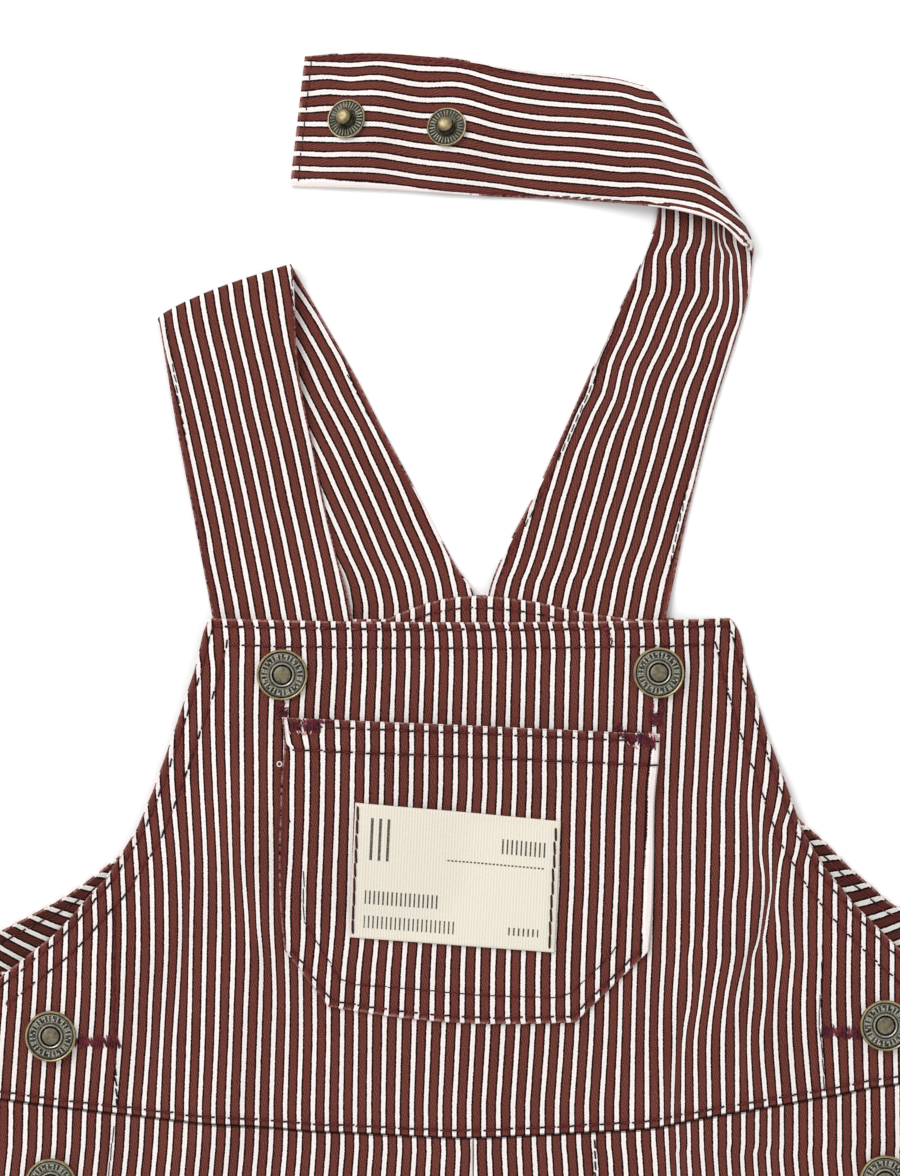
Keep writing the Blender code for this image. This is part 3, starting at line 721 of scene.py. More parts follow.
# ---------------------------------------------------------------------------
# The straps: each a doubled strip of the twill, sewn into the back, pressed flat and
# topstitched along both long edges.  The left one is turned over once and its end goes
# under the bib; the right one is turned over once and its end lies free.
# ---------------------------------------------------------------------------
STRAP_L_LOWER = (
    # edge a x, edge a drop, edge b x, edge b drop
    (-47.0, 15.0, 3.0, 12.0),
    (-52.5, -1.0, 1.2, -6.5),
    (-58.0, -14.0, -4.6, -16.0),
    (-66.0, -31.0, -13.2, -32.5),
    (-76.0, -53.0, -26.2, -56.5),
    (-84.0, -70.0, -34.2, -72.0),
    (-88.5, -80.5, -44.2, -89.4),
    (-92.3, -88.4, -52.8, -104.6),
)
STRAP_L_UPPER = (
    (-92.3, -88.4, -52.8, -104.6),
    (-87.6, -62.0, -50.7, -74.0),
    (-84.4, -45.0, -46.2, -50.0),
    (-81.5, -30.0, -42.9, -33.3),
    (-78.8, -15.5, -38.9, -16.5),
    (-76.1, -1.0, -35.0, -1.0),
    (-65.1, 60.0, -24.8, 60.0),
)
STRAP_R_LOWER = (
    (8.0, 15.0, 54.0, 15.0),
    (5.6, -8.0, 58.2, -2.0),
    (21.8, -42.2, 64.2, -30.4),
    (39.8, -82.0, 71.7, -60.8),
    (51.3, -107.1, 79.1, -84.4),
    (55.6, -123.0, 82.2, -96.0),
    (54.0, -152.0, 84.2, -107.5),
)
STRAP_R_UPPER = (
    (49.9, -157.0, 81.6, -110.2),
    (41.4, -159.4, 72.6, -117.0),
    (28.0, -160.6, 56.0, -121.1),
    (13.0, -162.0, 30.0, -123.3),
    (-8.0, -165.4, 4.0, -124.4),
    (-30.0, -166.9, -26.0, -126.4),
    (-48.7, -165.6, -53.1, -127.3),
)
REACH_AT = (0, 0.6, 1)
# How far each fold bows out and how far its turn reaches, at the shares of its width above, how
# high it stands at both edges, over what length the upper run settles, and how far in the stitches
# of both runs lie
BOW_AT = (0.0, 0.06, 0.15, 0.25, 0.45, 0.65, 0.82, 0.94, 1.0)
FOLD_L = {"bow": (0.0, 0.7, 1.2, 1.5, 1.6, 1.2, 0.6, 0.2, 0.0), "reach": (1.2, 1.8, 0.9),
          "height": (2.2, 5.2), "settle": 90.0, "lower": (2.0, 2.0), "upper": (2.0, 0.5)}
FOLD_R = {"bow": (1.6, 2.6, 2.8, 3.0, 2.9, 2.6, 2.7, 1.9, 0.4), "reach": (0.7, 4.5, 0.8),
          "height": (3.0, 8.8), "settle": 70.0, "lower": (2.0, 2.0), "upper": (1.8, 0.9)}
# Which way each open post leans, and how far, in degrees; the cloth under it swells up
POST_LEANS = {"stud_strap_r_end": (158.0, 21.0), "stud_strap_r_inner": (132.0, 16.0)}
POST_SWELL = 2.8
POST_SWELL_HALF = 18.0
POST_TIP_HALF = 12.0
STRAP_ROWS = 14
STRAP_ROW_SHARE = 1 / 34
FOLD_STEPS = 12
TOP_FACING_DEPTH = 38.0
TOP_FACING_HALF = 52.0
TOP_FACING_STITCH_IN = 3.4
TOP_FACING_GRAIN = (
    # x, number of the white stripe there
    (-16.9, -4), (-12.4, -3), (-8.0, -2), (-3.6, -1), (1.1, 0), (5.9, 1), (10.8, 2), (15.7, 3),
    (19.9, 4), (24.1, 5), (28.3, 6), (32.7, 7), (37.0, 8), (40.7, 9),
)
VIEW_CENTRE = np.array((VIEW_X, BIB_TOP_Y - VIEW_Y))
# Where the white stripes of each run lie; the first row gives their numbers from edge a
STRAP_L_LOWER_GRAIN = (
    # drop, x of each stripe
    (-1, 2, 3, 4, 5, 6, 7, 8, 9),
    (-102.7, -82.9, -78.2, -73.5, -68.7, -63.9, -59.0, -54.3, -49.6),
    (-98.2, -80.5, -75.8, -70.9, -66.1, -61.4, -56.6, -51.8, -46.9),
    (-92.3, -76.7, -71.8, -67.0, -62.2, -57.5, -52.8, -47.8, -43.1),
    (-87.9, -74.0, -69.2, -64.3, -59.6, -54.9, -50.1, -45.0, -40.3),
    (-82.0, -70.8, -65.9, -61.1, -56.2, -51.3, -46.7, -41.7, -37.0),
    (-76.1, -67.6, -62.7, -57.8, -53.0, -48.1, -43.4, -38.4, -33.8),
    (-70.2, -64.9, -60.0, -55.2, -50.3, -45.5, -40.5, -35.8, -31.3),
    (-64.3, -61.9, -57.1, -52.2, -47.4, -42.7, -37.8, -33.0, -28.5),
    (-55.5, -57.5, -52.7, -47.8, -43.1, -38.0, -33.0, -28.6, -24.0),
    (-46.6, -52.8, -48.1, -43.3, -38.6, -33.9, -29.1, -24.2, -19.6),
    (-37.8, -48.8, -44.2, -39.5, -34.7, -29.9, -25.0, -20.2, -15.5),
    (-28.9, -44.8, -40.2, -35.4, -30.7, -26.0, -21.4, -16.5, -11.7),
    (-20.1, -41.0, -36.4, -31.7, -27.1, -22.3, -17.4, -12.6, -7.6),
    (-11.2, -36.8, -32.4, -27.8, -23.3, -18.6, -14.0, -9.5, -5.1),
    (-3.8, -35.3, -30.7, -26.2, -21.7, -17.3, -13.0, -8.5, -3.7),
)
STRAP_L_UPPER_GRAIN = (
    (-1, 0, 1, 2, 3, 4, 5, 6, 7, 8, 9),
    (-104.0, -93.0, -88.6, -84.2, -80.2, -76.0, -71.3, -67.0, -62.4, -57.6, -53.4),
    (-96.2, -91.7, -87.7, -83.3, -79.1, -74.8, -70.4, -66.0, -61.4, -56.4, -52.0),
    (-92.3, -91.2, -87.3, -83.1, -78.7, -74.3, -69.9, -65.5, -60.9, -55.8, -51.2),
    (-87.9, -90.7, -87.0, -82.4, -77.9, -73.5, -69.1, -64.6, -60.1, -55.2, -50.6),
    (-83.5, -90.2, -86.1, -81.5, -77.0, -72.5, -68.2, -63.7, -59.2, -54.5, -50.0),
    (-79.1, -89.2, -85.0, -80.4, -76.0, -71.4, -67.2, -62.8, -58.2, -53.6, -49.1),
    (-70.2, -86.9, -82.9, -78.3, -73.8, -69.4, -65.1, -60.7, -56.2, -51.6, -47.2),
    (-61.4, -84.8, -80.8, -76.2, -71.9, -67.6, -63.4, -58.8, -54.3, -49.8, -45.4),
    (-52.5, -83.0, -78.7, -74.2, -69.9, -65.5, -61.2, -56.7, -52.1, -47.8, -43.5),
    (-43.7, -81.1, -76.8, -72.3, -67.9, -63.6, -59.2, -54.8, -50.2, -46.0, -41.6),
    (-34.8, -79.3, -74.8, -70.3, -66.0, -61.7, -57.5, -53.0, -48.4, -44.2, -39.8),
    (-26.0, -77.4, -73.1, -68.6, -64.3, -59.8, -55.4, -51.0, -46.5, -42.3, -37.9),
    (-17.1, -76.0, -71.5, -66.9, -62.5, -58.0, -53.6, -49.1, -44.5, -40.1, -35.8),
    (-8.3, -74.1, -69.9, -65.3, -60.8, -56.3, -51.8, -47.3, -42.8, -38.2, -33.8),
    (-3.8, -73.3, -69.0, -64.5, -60.0, -55.4, -51.0, -46.6, -41.9, -37.3, -33.0),
    (60.0, -62.3, -58.0, -53.5, -49.0, -44.4, -40.0, -35.6, -30.9, -26.3, -22.2),
)
STRAP_R_LOWER_GRAIN = (
    (-1, 0, 1, 2, 3, 4, 5, 6, 7, 8, 9),
    (-155.0, 55.5, 60.0, 64.0, 68.0, 71.5, 74.0, 76.0, 78.0, 80.0, 82.5),
    (-133.0, 54.5, 57.5, 61.0, 65.2, 69.0, 71.6, 73.6, 76.0, 79.0, 82.5),
    (-113.0, 53.2, 56.7, 60.9, 65.2, 69.0, 72.0, 73.2, 74.6, 77.9, 81.5),
    (-107.1, 51.4, 54.6, 58.6, 63.0, 67.5, 71.5, 74.5, 77.0, 79.0, 82.0),
    (-101.2, 50.2, 54.3, 58.7, 63.0, 67.2, 71.2, 74.0, 76.8, 79.6, 82.2),
    (-96.2, 49.5, 53.8, 58.4, 62.6, 67.1, 71.1, 74.0, 77.0, 79.9, 82.4),
    (-92.3, 48.1, 52.0, 56.8, 61.0, 65.3, 69.8, 73.7, 76.8, 79.9, 82.4),
    (-87.9, 46.7, 50.6, 55.0, 59.4, 63.1, 67.3, 71.8, 75.8, 79.4, 82.0),
    (-83.5, 45.2, 49.1, 53.4, 57.8, 61.8, 65.3, 69.4, 74.0, 77.7, 80.9),
    (-79.1, 43.1, 47.0, 51.5, 55.9, 60.2, 64.2, 68.2, 72.4, 76.4, 79.9),
    (-74.6, 41.3, 45.0, 49.2, 53.6, 58.0, 62.3, 66.8, 71.2, 75.1, 78.8),
    (-70.2, 40.4, 43.9, 47.8, 51.7, 56.0, 60.3, 64.8, 69.5, 73.7, 77.6),
    (-65.8, 39.2, 43.0, 46.8, 50.4, 54.5, 58.8, 63.3, 68.1, 72.5, 76.5),
    (-61.4, 36.8, 41.2, 45.4, 49.1, 53.3, 57.7, 62.2, 66.8, 71.2, 75.2),
    (-56.9, 34.9, 39.1, 43.4, 47.5, 51.9, 56.4, 61.0, 65.6, 70.0, 74.0),
    (-52.5, 33.1, 37.3, 41.6, 46.1, 50.6, 55.1, 59.8, 64.5, 68.8, 72.7),
    (-48.1, 31.3, 35.8, 40.3, 44.9, 49.6, 54.1, 58.6, 63.2, 67.6, 71.5),
    (-39.2, 28.7, 33.4, 37.9, 42.5, 47.0, 51.5, 56.0, 60.6, 65.1, 69.3),
    (-34.8, 27.3, 32.1, 36.7, 41.2, 45.8, 50.1, 54.6, 59.3, 63.7, 68.0),
    (-30.4, 26.2, 30.8, 35.4, 39.8, 44.4, 48.9, 53.5, 58.1, 62.5, 66.9),
    (-21.5, 23.8, 28.5, 33.0, 37.5, 42.0, 46.5, 51.1, 55.6, 60.0, 64.8),
    (-17.1, 22.5, 27.1, 31.7, 36.2, 40.6, 44.9, 49.4, 54.1, 58.7, 63.6),
    (-12.7, 20.9, 25.7, 30.4, 34.9, 39.4, 43.7, 48.1, 52.8, 57.4, 62.4),
    (-8.3, 19.5, 24.1, 28.8, 33.4, 38.2, 42.7, 47.2, 51.7, 56.3, 61.4),
    (15.0, 15.5, 20.0, 24.5, 29.0, 34.0, 38.5, 43.0, 47.5, 52.0, 57.0),
)
STRAP_R_UPPER_GRAIN = (
    # x, drop of each stripe, from the top down; the last two white stripes by both their sides
    (-1, 0, 1, 2, 3, 4, 5, 6, 7, 7.86, 8.14, 8.86, 9.14),
    (-60.0, -168.6, -164.4, -160.0, -155.2, -150.5, -146.0, -141.5, -137.0, -133.3, -132.1, -129.6, -126.2),
    (-50.2, -167.6, -163.6, -159.2, -154.4, -149.7, -145.7, -141.3, -136.9, -133.2, -132.0, -129.5, -126.2),
    (-42.2, -167.3, -163.3, -159.6, -155.2, -150.2, -145.6, -141.1, -136.6, -132.8, -131.6, -129.4, -126.2),
    (-35.4, -167.1, -163.0, -158.9, -154.8, -150.3, -145.5, -140.9, -136.8, -132.8, -131.6, -129.0, -125.8),
    (-26.6, -167.0, -163.6, -159.4, -154.8, -150.0, -145.6, -141.1, -136.4, -132.4, -131.2, -128.4, -125.4),
    (-14.8, -166.7, -162.1, -157.2, -152.8, -148.1, -143.7, -139.2, -134.5, -130.6, -129.4, -126.8, -125.4),
    (-3.0, -165.5, -161.5, -157.3, -152.6, -147.9, -142.9, -137.9, -133.2, -129.3, -128.1, -125.1, -123.9),
    (8.9, -162.6, -158.4, -153.9, -149.4, -144.8, -140.3, -135.7, -131.2, -127.9, -126.7, -123.9, -122.7),
    (20.7, -160.8, -156.5, -151.9, -147.4, -143.1, -138.8, -134.3, -129.8, -126.0, -124.8, -122.0, -120.8),
    (32.5, -159.6, -155.2, -151.0, -146.8, -142.3, -138.1, -133.6, -128.8, -124.9, -123.7, -120.9, -119.7),
    (44.3, -158.1, -154.4, -150.2, -145.7, -141.3, -136.7, -132.2, -127.7, -123.9, -123.1, -120.5, -119.0),
    (50.2, -156.5, -152.6, -149.0, -144.9, -140.7, -136.5, -132.2, -127.7, -124.3, -123.0, -121.3, -119.0),
    (56.1, -154.5, -151.5, -147.7, -143.8, -139.7, -135.9, -131.6, -127.1, -123.9, -122.1, -121.7, -119.0),
    (61.9, -151.0, -146.8, -144.5, -141.7, -138.2, -134.5, -130.5, -126.6, -123.1, -121.7, -121.3, -118.0),
    (67.9, -146.0, -143.3, -140.8, -138.3, -135.6, -132.7, -129.3, -125.4, -121.9, -120.6, -120.2, -117.0),
    (73.8, -138.0, -136.0, -134.0, -132.0, -130.0, -128.2, -125.6, -121.8, -119.1, -117.6, -117.2, -114.5),
    (79.7, -131.0, -129.0, -127.0, -125.0, -123.0, -121.5, -119.8, -117.0, -114.6, -113.0, -112.6, -110.0),
    (85.0, -124.0, -122.0, -120.0, -118.0, -116.0, -114.0, -112.0, -110.9, -108.5, -104.6, -104.2, -101.5),
)


def nearness(height):
    """How much narrower raised cloth is drawn, so that it looks as wide as its plan."""
    return 1 - np.asarray(height)[..., None] * SENSOR / (VIEW_SPAN * LENS)


def as_seen(plan, height):
    """Draw raised cloth in towards the middle of the view."""
    return VIEW_CENTRE + (plan - VIEW_CENTRE) * nearness(height)


def drawn_grain(plan, height, *tables, along=1):
    """Stripe count across a plan from the lines that chosen stripes follow, as the camera sees them."""
    seen = VIEW_CENTRE + (plan - VIEW_CENTRE) / nearness(height)
    run, across = seen[..., along], seen[..., 1 - along]
    numbers = np.concatenate([np.array(table[0][1:]) for table in tables])
    places = []
    for table in tables:
        rows = spline(table[1:], 4)
        places += [np.interp(run, rows[:, 0], rows[:, k]) for k in range(1, rows.shape[1])]
    count = numbers[0] + (np.minimum(across - places[0], 0) + np.maximum(across - places[-1], 0)) / STRIPE
    for before, after, first, second in zip(places, places[1:], numbers, numbers[1:]):
        count += (second - first) * np.clip((across - before) / np.maximum(after - before, 0.3), 0, 1)
    return np.stack((count, (-run if along else run) / STRIPE), axis=-1)


def strap_plan(lower_table, upper_table, fold):
    """A strap seen from above: its run up from the root, and its run on after the fold."""
    share = spread_out(0, 1, STRAP_ROW_SHARE, (0.012,))
    lower = crosswise(spline(lower_table, STRAP_ROWS), share)
    upper = crosswise(spline(upper_table, STRAP_ROWS), share)
    turn = (lower[-1] + upper[0]) / 2
    line = turn[-1] - turn[0]
    line /= np.linalg.norm(line)
    arriving = lower[-1].mean(axis=0) - lower[-1 - STRAP_ROWS // 2].mean(axis=0)
    outward = arriving - line * arriving.dot(line)
    outward /= np.linalg.norm(outward)
    reach = np.interp(share, REACH_AT, fold["reach"])
    bow = np.interp(share, *spline(np.column_stack((BOW_AT, fold["bow"])), 4).T)
    shift = outward * (bow - reach - WALL / 2)[:, None]
    eased = len(lower) // 4
    for k in range(eased):
        ease = float(smooth(1 - k / eased)) ** 2
        lower[-1 - k] += shift * ease
        upper[k] += shift * ease
    return {"lower": lower, "upper": upper, "reach": reach, "outward": outward, "share": share,
            "height": np.interp(share, (0, 1), fold["height"]), "settle": fold["settle"],
            "stitch_in": {"lower": fold["lower"], "upper": fold["upper"]}}


def strap_upper_height(plan, low_z):
    """Height of a strap's middle after its fold, coming down from the turn to what lies below."""
    upper = plan["upper"]
    over = pile.under(upper) + WALL / 2
    run = np.linalg.norm(upper - upper[0], axis=2)
    turn = low_z[-1] + plan["height"]
    high_z = np.maximum(over, low_z[-1] + (turn - low_z[-1]) * (1 - smooth(run / plan["settle"])))
    high_z[0] = turn
    return high_z


def strap_cloth(name, plan, low_z, high_z, tables, along, node_name):
    """The strap as one layer: lower run, turn and upper run, which goes down or along."""
    lower, upper, outward = plan["lower"], plan["upper"], plan["outward"]
    middle = [np.dstack((lower, low_z))]
    facing = [np.broadcast_to((0.0, 0.0, -1.0), middle[0].shape)]
    grain = [drawn_grain(lower, low_z, tables[0])]
    for step in range(1, FOLD_STEPS):
        angle = math.pi * step / FOLD_STEPS
        share = (1 - math.cos(angle)) / 2
        bulge = outward * (plan["reach"] * math.sin(angle))[:, None]
        across = (lower[-1] * (1 - share) + upper[0] * share + bulge)[None]
        height = (low_z[-1] * (1 - share) + high_z[0] * share)[None]
        middle.append(np.dstack((across, height)))
        away = (*(outward * math.sin(angle)), -math.cos(angle))
        facing.append(np.broadcast_to(away, middle[-1].shape))
        over = float(smooth(2 * step / FOLD_STEPS))
        grain.append(drawn_grain(across, height, tables[0]) * (1 - over)
                     + drawn_grain(across, height, tables[1], along=along) * over)
    middle.append(np.dstack((upper, high_z)))
    facing.append(np.broadcast_to((0.0, 0.0, 1.0), middle[-1].shape))
    grain.append(drawn_grain(upper, high_z, tables[1], along=along))
    middle, facing, grain = np.concatenate(middle), np.concatenate(facing), np.concatenate(grain)
    width = np.linalg.norm(middle[:, -1] - middle[:, 0], axis=1)[:, None]
    from_a, from_b = width * plan["share"], width * (1 - plan["share"])
    end = np.linalg.norm(middle - middle[-1:], axis=2)
    inset = np.concatenate([np.broadcast_to(plan["stitch_in"][part], (rows, 2)) for part, rows in (
        ("lower", len(middle) - len(upper)), ("upper", len(upper)))])
    seam = np.minimum(np.abs(from_a - inset[:, :1]), np.abs(from_b - inset[:, 1:]))
    edge = np.minimum(np.minimum(from_a, from_b), end)
    piece = cloth_shell(name, middle, facing, grain, edge, twill_cloth, seam=seam)
    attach(piece, "root")
    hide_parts(node_name)
    note_skin(name + "_lower", np.dstack((lower, low_z + WALL / 2)), grain[:len(lower)])
    note_skin(name + "_upper", np.dstack((upper, high_z + WALL / 2)), grain[-len(upper):])
    return piece


def strap_edge_line(plan, part, column):
    """The topstitching line beside one long edge of a strap's run."""
    run = plan[part]
    across = run[:, -1] - run[:, 0]
    across = across / np.linalg.norm(across, axis=1)[:, None]
    inset = plan["stitch_in"][part][column] * (1 if column == 0 else -1)
    return run[:, column] + inset * across


def run_relief(plan, part):
    """The topstitching drawn in along both long edges of a strap's run."""
    return sum(sewn_in(plan[part], strap_edge_line(plan, part, column)) for column in (0, -1))


def post_swell(run):
    """The cloth raised and tipped round the open posts."""
    total = np.zeros(run.shape[:2])
    for node_name, (way, angle) in POST_LEANS.items():
        low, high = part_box(node_name)
        across = run[..., 0] - (low + high).x / 2 / MM
        along = BIB_TOP_Y - run[..., 1] - (low + high).y / 2 / MM
        downhill = across * math.cos(math.radians(way)) + along * math.sin(math.radians(way))
        away = np.hypot(across, along)
        total += POST_SWELL * np.exp(-(away / POST_SWELL_HALF) ** 2)
        total -= downhill * math.tan(math.radians(angle)) * np.exp(-(away / POST_TIP_HALF) ** 2)
    return np.maximum(total, 0.0)


left = strap_plan(STRAP_L_LOWER, STRAP_L_UPPER, FOLD_L)
right = strap_plan(STRAP_R_LOWER, STRAP_R_UPPER, FOLD_R)
low_left = pile.under(left["lower"]) + WALL / 2
low_right = pile.under(right["lower"]) + WALL / 2
for strap, height in ((left, low_left), (right, low_right)):
    strap["lower"] = as_seen(strap["lower"], height)
    pile.lay(np.dstack((strap["lower"], height + WALL / 2)))

x = spread_out(-TOP_FACING_HALF, TOP_FACING_HALF, 1.6, (0.7,))
top = back_top(x / BACK_TOP_HALF) + SEAM_GAP
facing_plan = crosswise(np.column_stack((x, top, x, np.full(len(x), TOP_FACING_DEPTH))),
                        spread_out(0, 1, 0.045, (0.015, 0.03)))
top_facing_line = np.column_stack((x, top + TOP_FACING_STITCH_IN))
x, (known, numbers) = facing_plan[..., 0], np.array(TOP_FACING_GRAIN).T
count = np.interp(x, known, numbers) + (np.minimum(x - known[0], 0) + np.maximum(x - known[-1], 0)) / STRIPE
grain = np.stack((count, -facing_plan[..., 1] / STRIPE), axis=-1)
underside = pile.under(facing_plan)
lay_cloth("top_facing_cloth", facing_plan, underside + sewn_in(facing_plan, top_facing_line), grain,
          edge_of(facing_plan, facing_plan[:, 0]), "back_top_facing", (0.104, 0.044),
          0.0042, seams=[top_facing_line])
pile.lay(skin_of(facing_plan, underside))

high_right = strap_upper_height(right, low_right)
high_left = strap_upper_height(left, low_left)
for strap, low, high in ((left, low_left, high_left), (right, low_right, high_right)):
    strap["upper"] = as_seen(strap["upper"], high)
    pile.lay(np.dstack((strap["upper"], high + WALL / 2)))
    low += run_relief(strap, "lower")
    high += run_relief(strap, "upper")
high_right += post_swell(right["upper"])
strap_cloth("strap_cloth_l", left, low_left, high_left, (STRAP_L_LOWER_GRAIN, STRAP_L_UPPER_GRAIN), 1,
            "strap_l")
strap_cloth("strap_cloth_r", right, low_right, high_right, (STRAP_R_LOWER_GRAIN, STRAP_R_UPPER_GRAIN), 0,
            "strap_r")

# ---------------------------------------------------------------------------
# The front bib: one piece from its straight top, past the two curved armholes, to the
# waist seam.  Top and armholes are turned in and topstitched twice; soft folds run down
# beside the pocket, and one is pinched into a tuck on the right.
# ---------------------------------------------------------------------------
WAIST_SEAM = (
    # x, drop
    (-143.0, 140.8), (-121.7, 143.4), (-104.7, 145.5), (-83.5, 147.9), (-64.7, 149.3), (-46.4, 150.6),
    (-20.6, 152.1),
    (-3.0, 152.8), (9.9, 152.4), (27.6, 151.5), (42.9, 150.7), (54.1, 149.7), (64.0, 147.8), (75.8, 145.4),
    (88.1, 143.2), (104.3, 140.6), (116.6, 138.1), (125.2, 136.9), (143.0, 134.3),
)
BIB_TOP_DIP = 1.2
BIB_EDGE_L = (
    # drop, half width
    (0.0, 76.6), (4.0, 78.3), (15.0, 80.9), (33.0, 87.0), (51.0, 93.4), (62.0, 98.0),
    (76.9, 107.5), (80.3, 110.9), (84.8, 114.7), (89.5, 118.9), (93.6, 123.0), (97.0, 127.4), (100.3, 131.5),
    (104.4, 136.8), (109.5, 143.0), (160.0, 143.0),
)
BIB_EDGE_R = (
    (0.0, 77.0), (4.0, 79.4), (15.0, 81.9), (33.0, 87.2), (51.0, 93.8), (62.0, 97.6),
    (73.0, 104.2), (84.0, 113.0), (95.0, 124.0), (104.0, 134.0), (112.0, 143.0), (160.0, 143.0),
)
BIB_DEPTH = 138.0
BODY_FULLNESS = 1.4
LEG_FULLNESS = 2.4
EDGE_PRESS = 26.0
FOLDS = (
    # from x, from drop, to x, to drop, half width, height
    (66.0, 68.0, 88.0, 176.0, 9.0, 2.6),
    (82.0, 96.0, 104.0, 190.0, 8.0, 1.6),
    (-62.0, 72.0, -80.0, 176.0, 9.0, 2.2),
    (-50.0, 118.0, -38.0, 250.0, 8.0, 1.8),
    (52.0, 122.0, 60.0, 300.0, 10.0, 2.2),
    (-95.0, 210.0, -70.0, 360.0, 11.0, 2.6),
    (98.0, 230.0, 74.0, 372.0, 11.0, 2.4),
    (-130.0, 430.0, -84.0, 520.0, 11.0, 2.6),
    (128.0, 410.0, 92.0, 508.0, 11.0, 2.4),
    (-60.0, 560.0, -100.0, 640.0, 10.0, 1.8),
    (72.0, 548.0, 104.0, 636.0, 10.0, 2.0),
)
BIB_CREASES = (
    # line of (x, drop) points, half width, height
    (((90.8, 66), (89.0, 78), (86.9, 88), (84.2, 97), (80.5, 106), (77.5, 116)), 1.7, -1.2),
    (((94.5, 62), (93.0, 78), (91.0, 92), (88.5, 104)), 3.2, 0.9),
    (((68.5, 98), (65.0, 110), (61.8, 124), (60.9, 150)), 2.2, -0.8),
    (((85.5, 106), (80.8, 120), (79.5, 136)), 2.4, -0.6),
    (((-64.5, 84), (-59.5, 98), (-56.5, 112)), 3.0, -0.7),
    (((-84.0, 84), (-83.0, 100), (-85.5, 122)), 2.4, -0.7),
    (((-53.0, 118), (-51.5, 134), (-52.5, 150)), 3.0, -0.4),
)
# Where chosen white stripes run; the first row gives their numbers from the centre
BIB_GRAIN_L = (
    # drop, x of each stripe
    (-1, -28, -25, -22, -20, -19, -17, -15, -14, -13, -11, -6, 0),
    (1.2, -123.6, -110.8, -97.9, -89.6, -85.4, -77.0, -67.8, -63.3, -58.7, -49.3, -26.8, -2.4),
    (2.7, -123.6, -110.8, -97.9, -89.5, -85.3, -76.9, -67.5, -63.0, -58.4, -49.4, -26.8, -2.0),
    (4.4, -123.6, -110.8, -97.9, -89.4, -85.2, -76.8, -67.3, -62.8, -58.3, -49.2, -26.6, -1.7),
    (6.5, -123.6, -110.8, -97.9, -89.3, -85.1, -76.5, -67.2, -62.7, -58.1, -49.0, -26.6, -1.5),
    (10.9, -123.5, -110.6, -97.7, -89.0, -84.8, -76.3, -67.2, -62.8, -58.1, -48.9, -26.7, -1.3),
    (15.3, -123.3, -110.4, -97.4, -88.6, -84.4, -75.8, -67.4, -62.8, -58.1, -48.8, -26.7, -1.3),
    (28.6, -123.0, -109.8, -96.7, -88.0, -83.6, -76.0, -67.4, -63.2, -58.7, -49.7, -27.3, -1.7),
    (46.3, -122.3, -109.4, -96.6, -88.1, -83.3, -75.4, -67.3, -63.0, -59.0, -50.0, -27.9, -2.2),
    (71.7, -120.4, -107.1, -94.2, -86.0, -82.0, -74.1, -67.0, -63.0, -58.6, -50.3, -28.6, -2.8),
    (89.4, -119.3, -106.2, -93.7, -85.4, -82.3, -73.9, -65.8, -62.5, -58.6, -50.3, -29.1, -2.9),
    (101.2, -119.5, -106.5, -93.7, -85.7, -82.5, -74.2, -65.6, -61.5, -58.0, -50.1, -29.4, -3.1),
    (113.0, -120.0, -106.8, -94.3, -86.4, -82.7, -74.5, -66.1, -61.8, -57.6, -49.9, -29.5, -3.2),
    (124.8, -120.9, -107.5, -94.8, -87.2, -83.0, -74.8, -66.5, -62.2, -58.0, -49.9, -29.6, -3.6),
    (143.7, -122.2, -109.1, -96.2, -87.8, -83.7, -75.7, -67.2, -62.8, -58.6, -50.5, -29.8, -4.6),
)
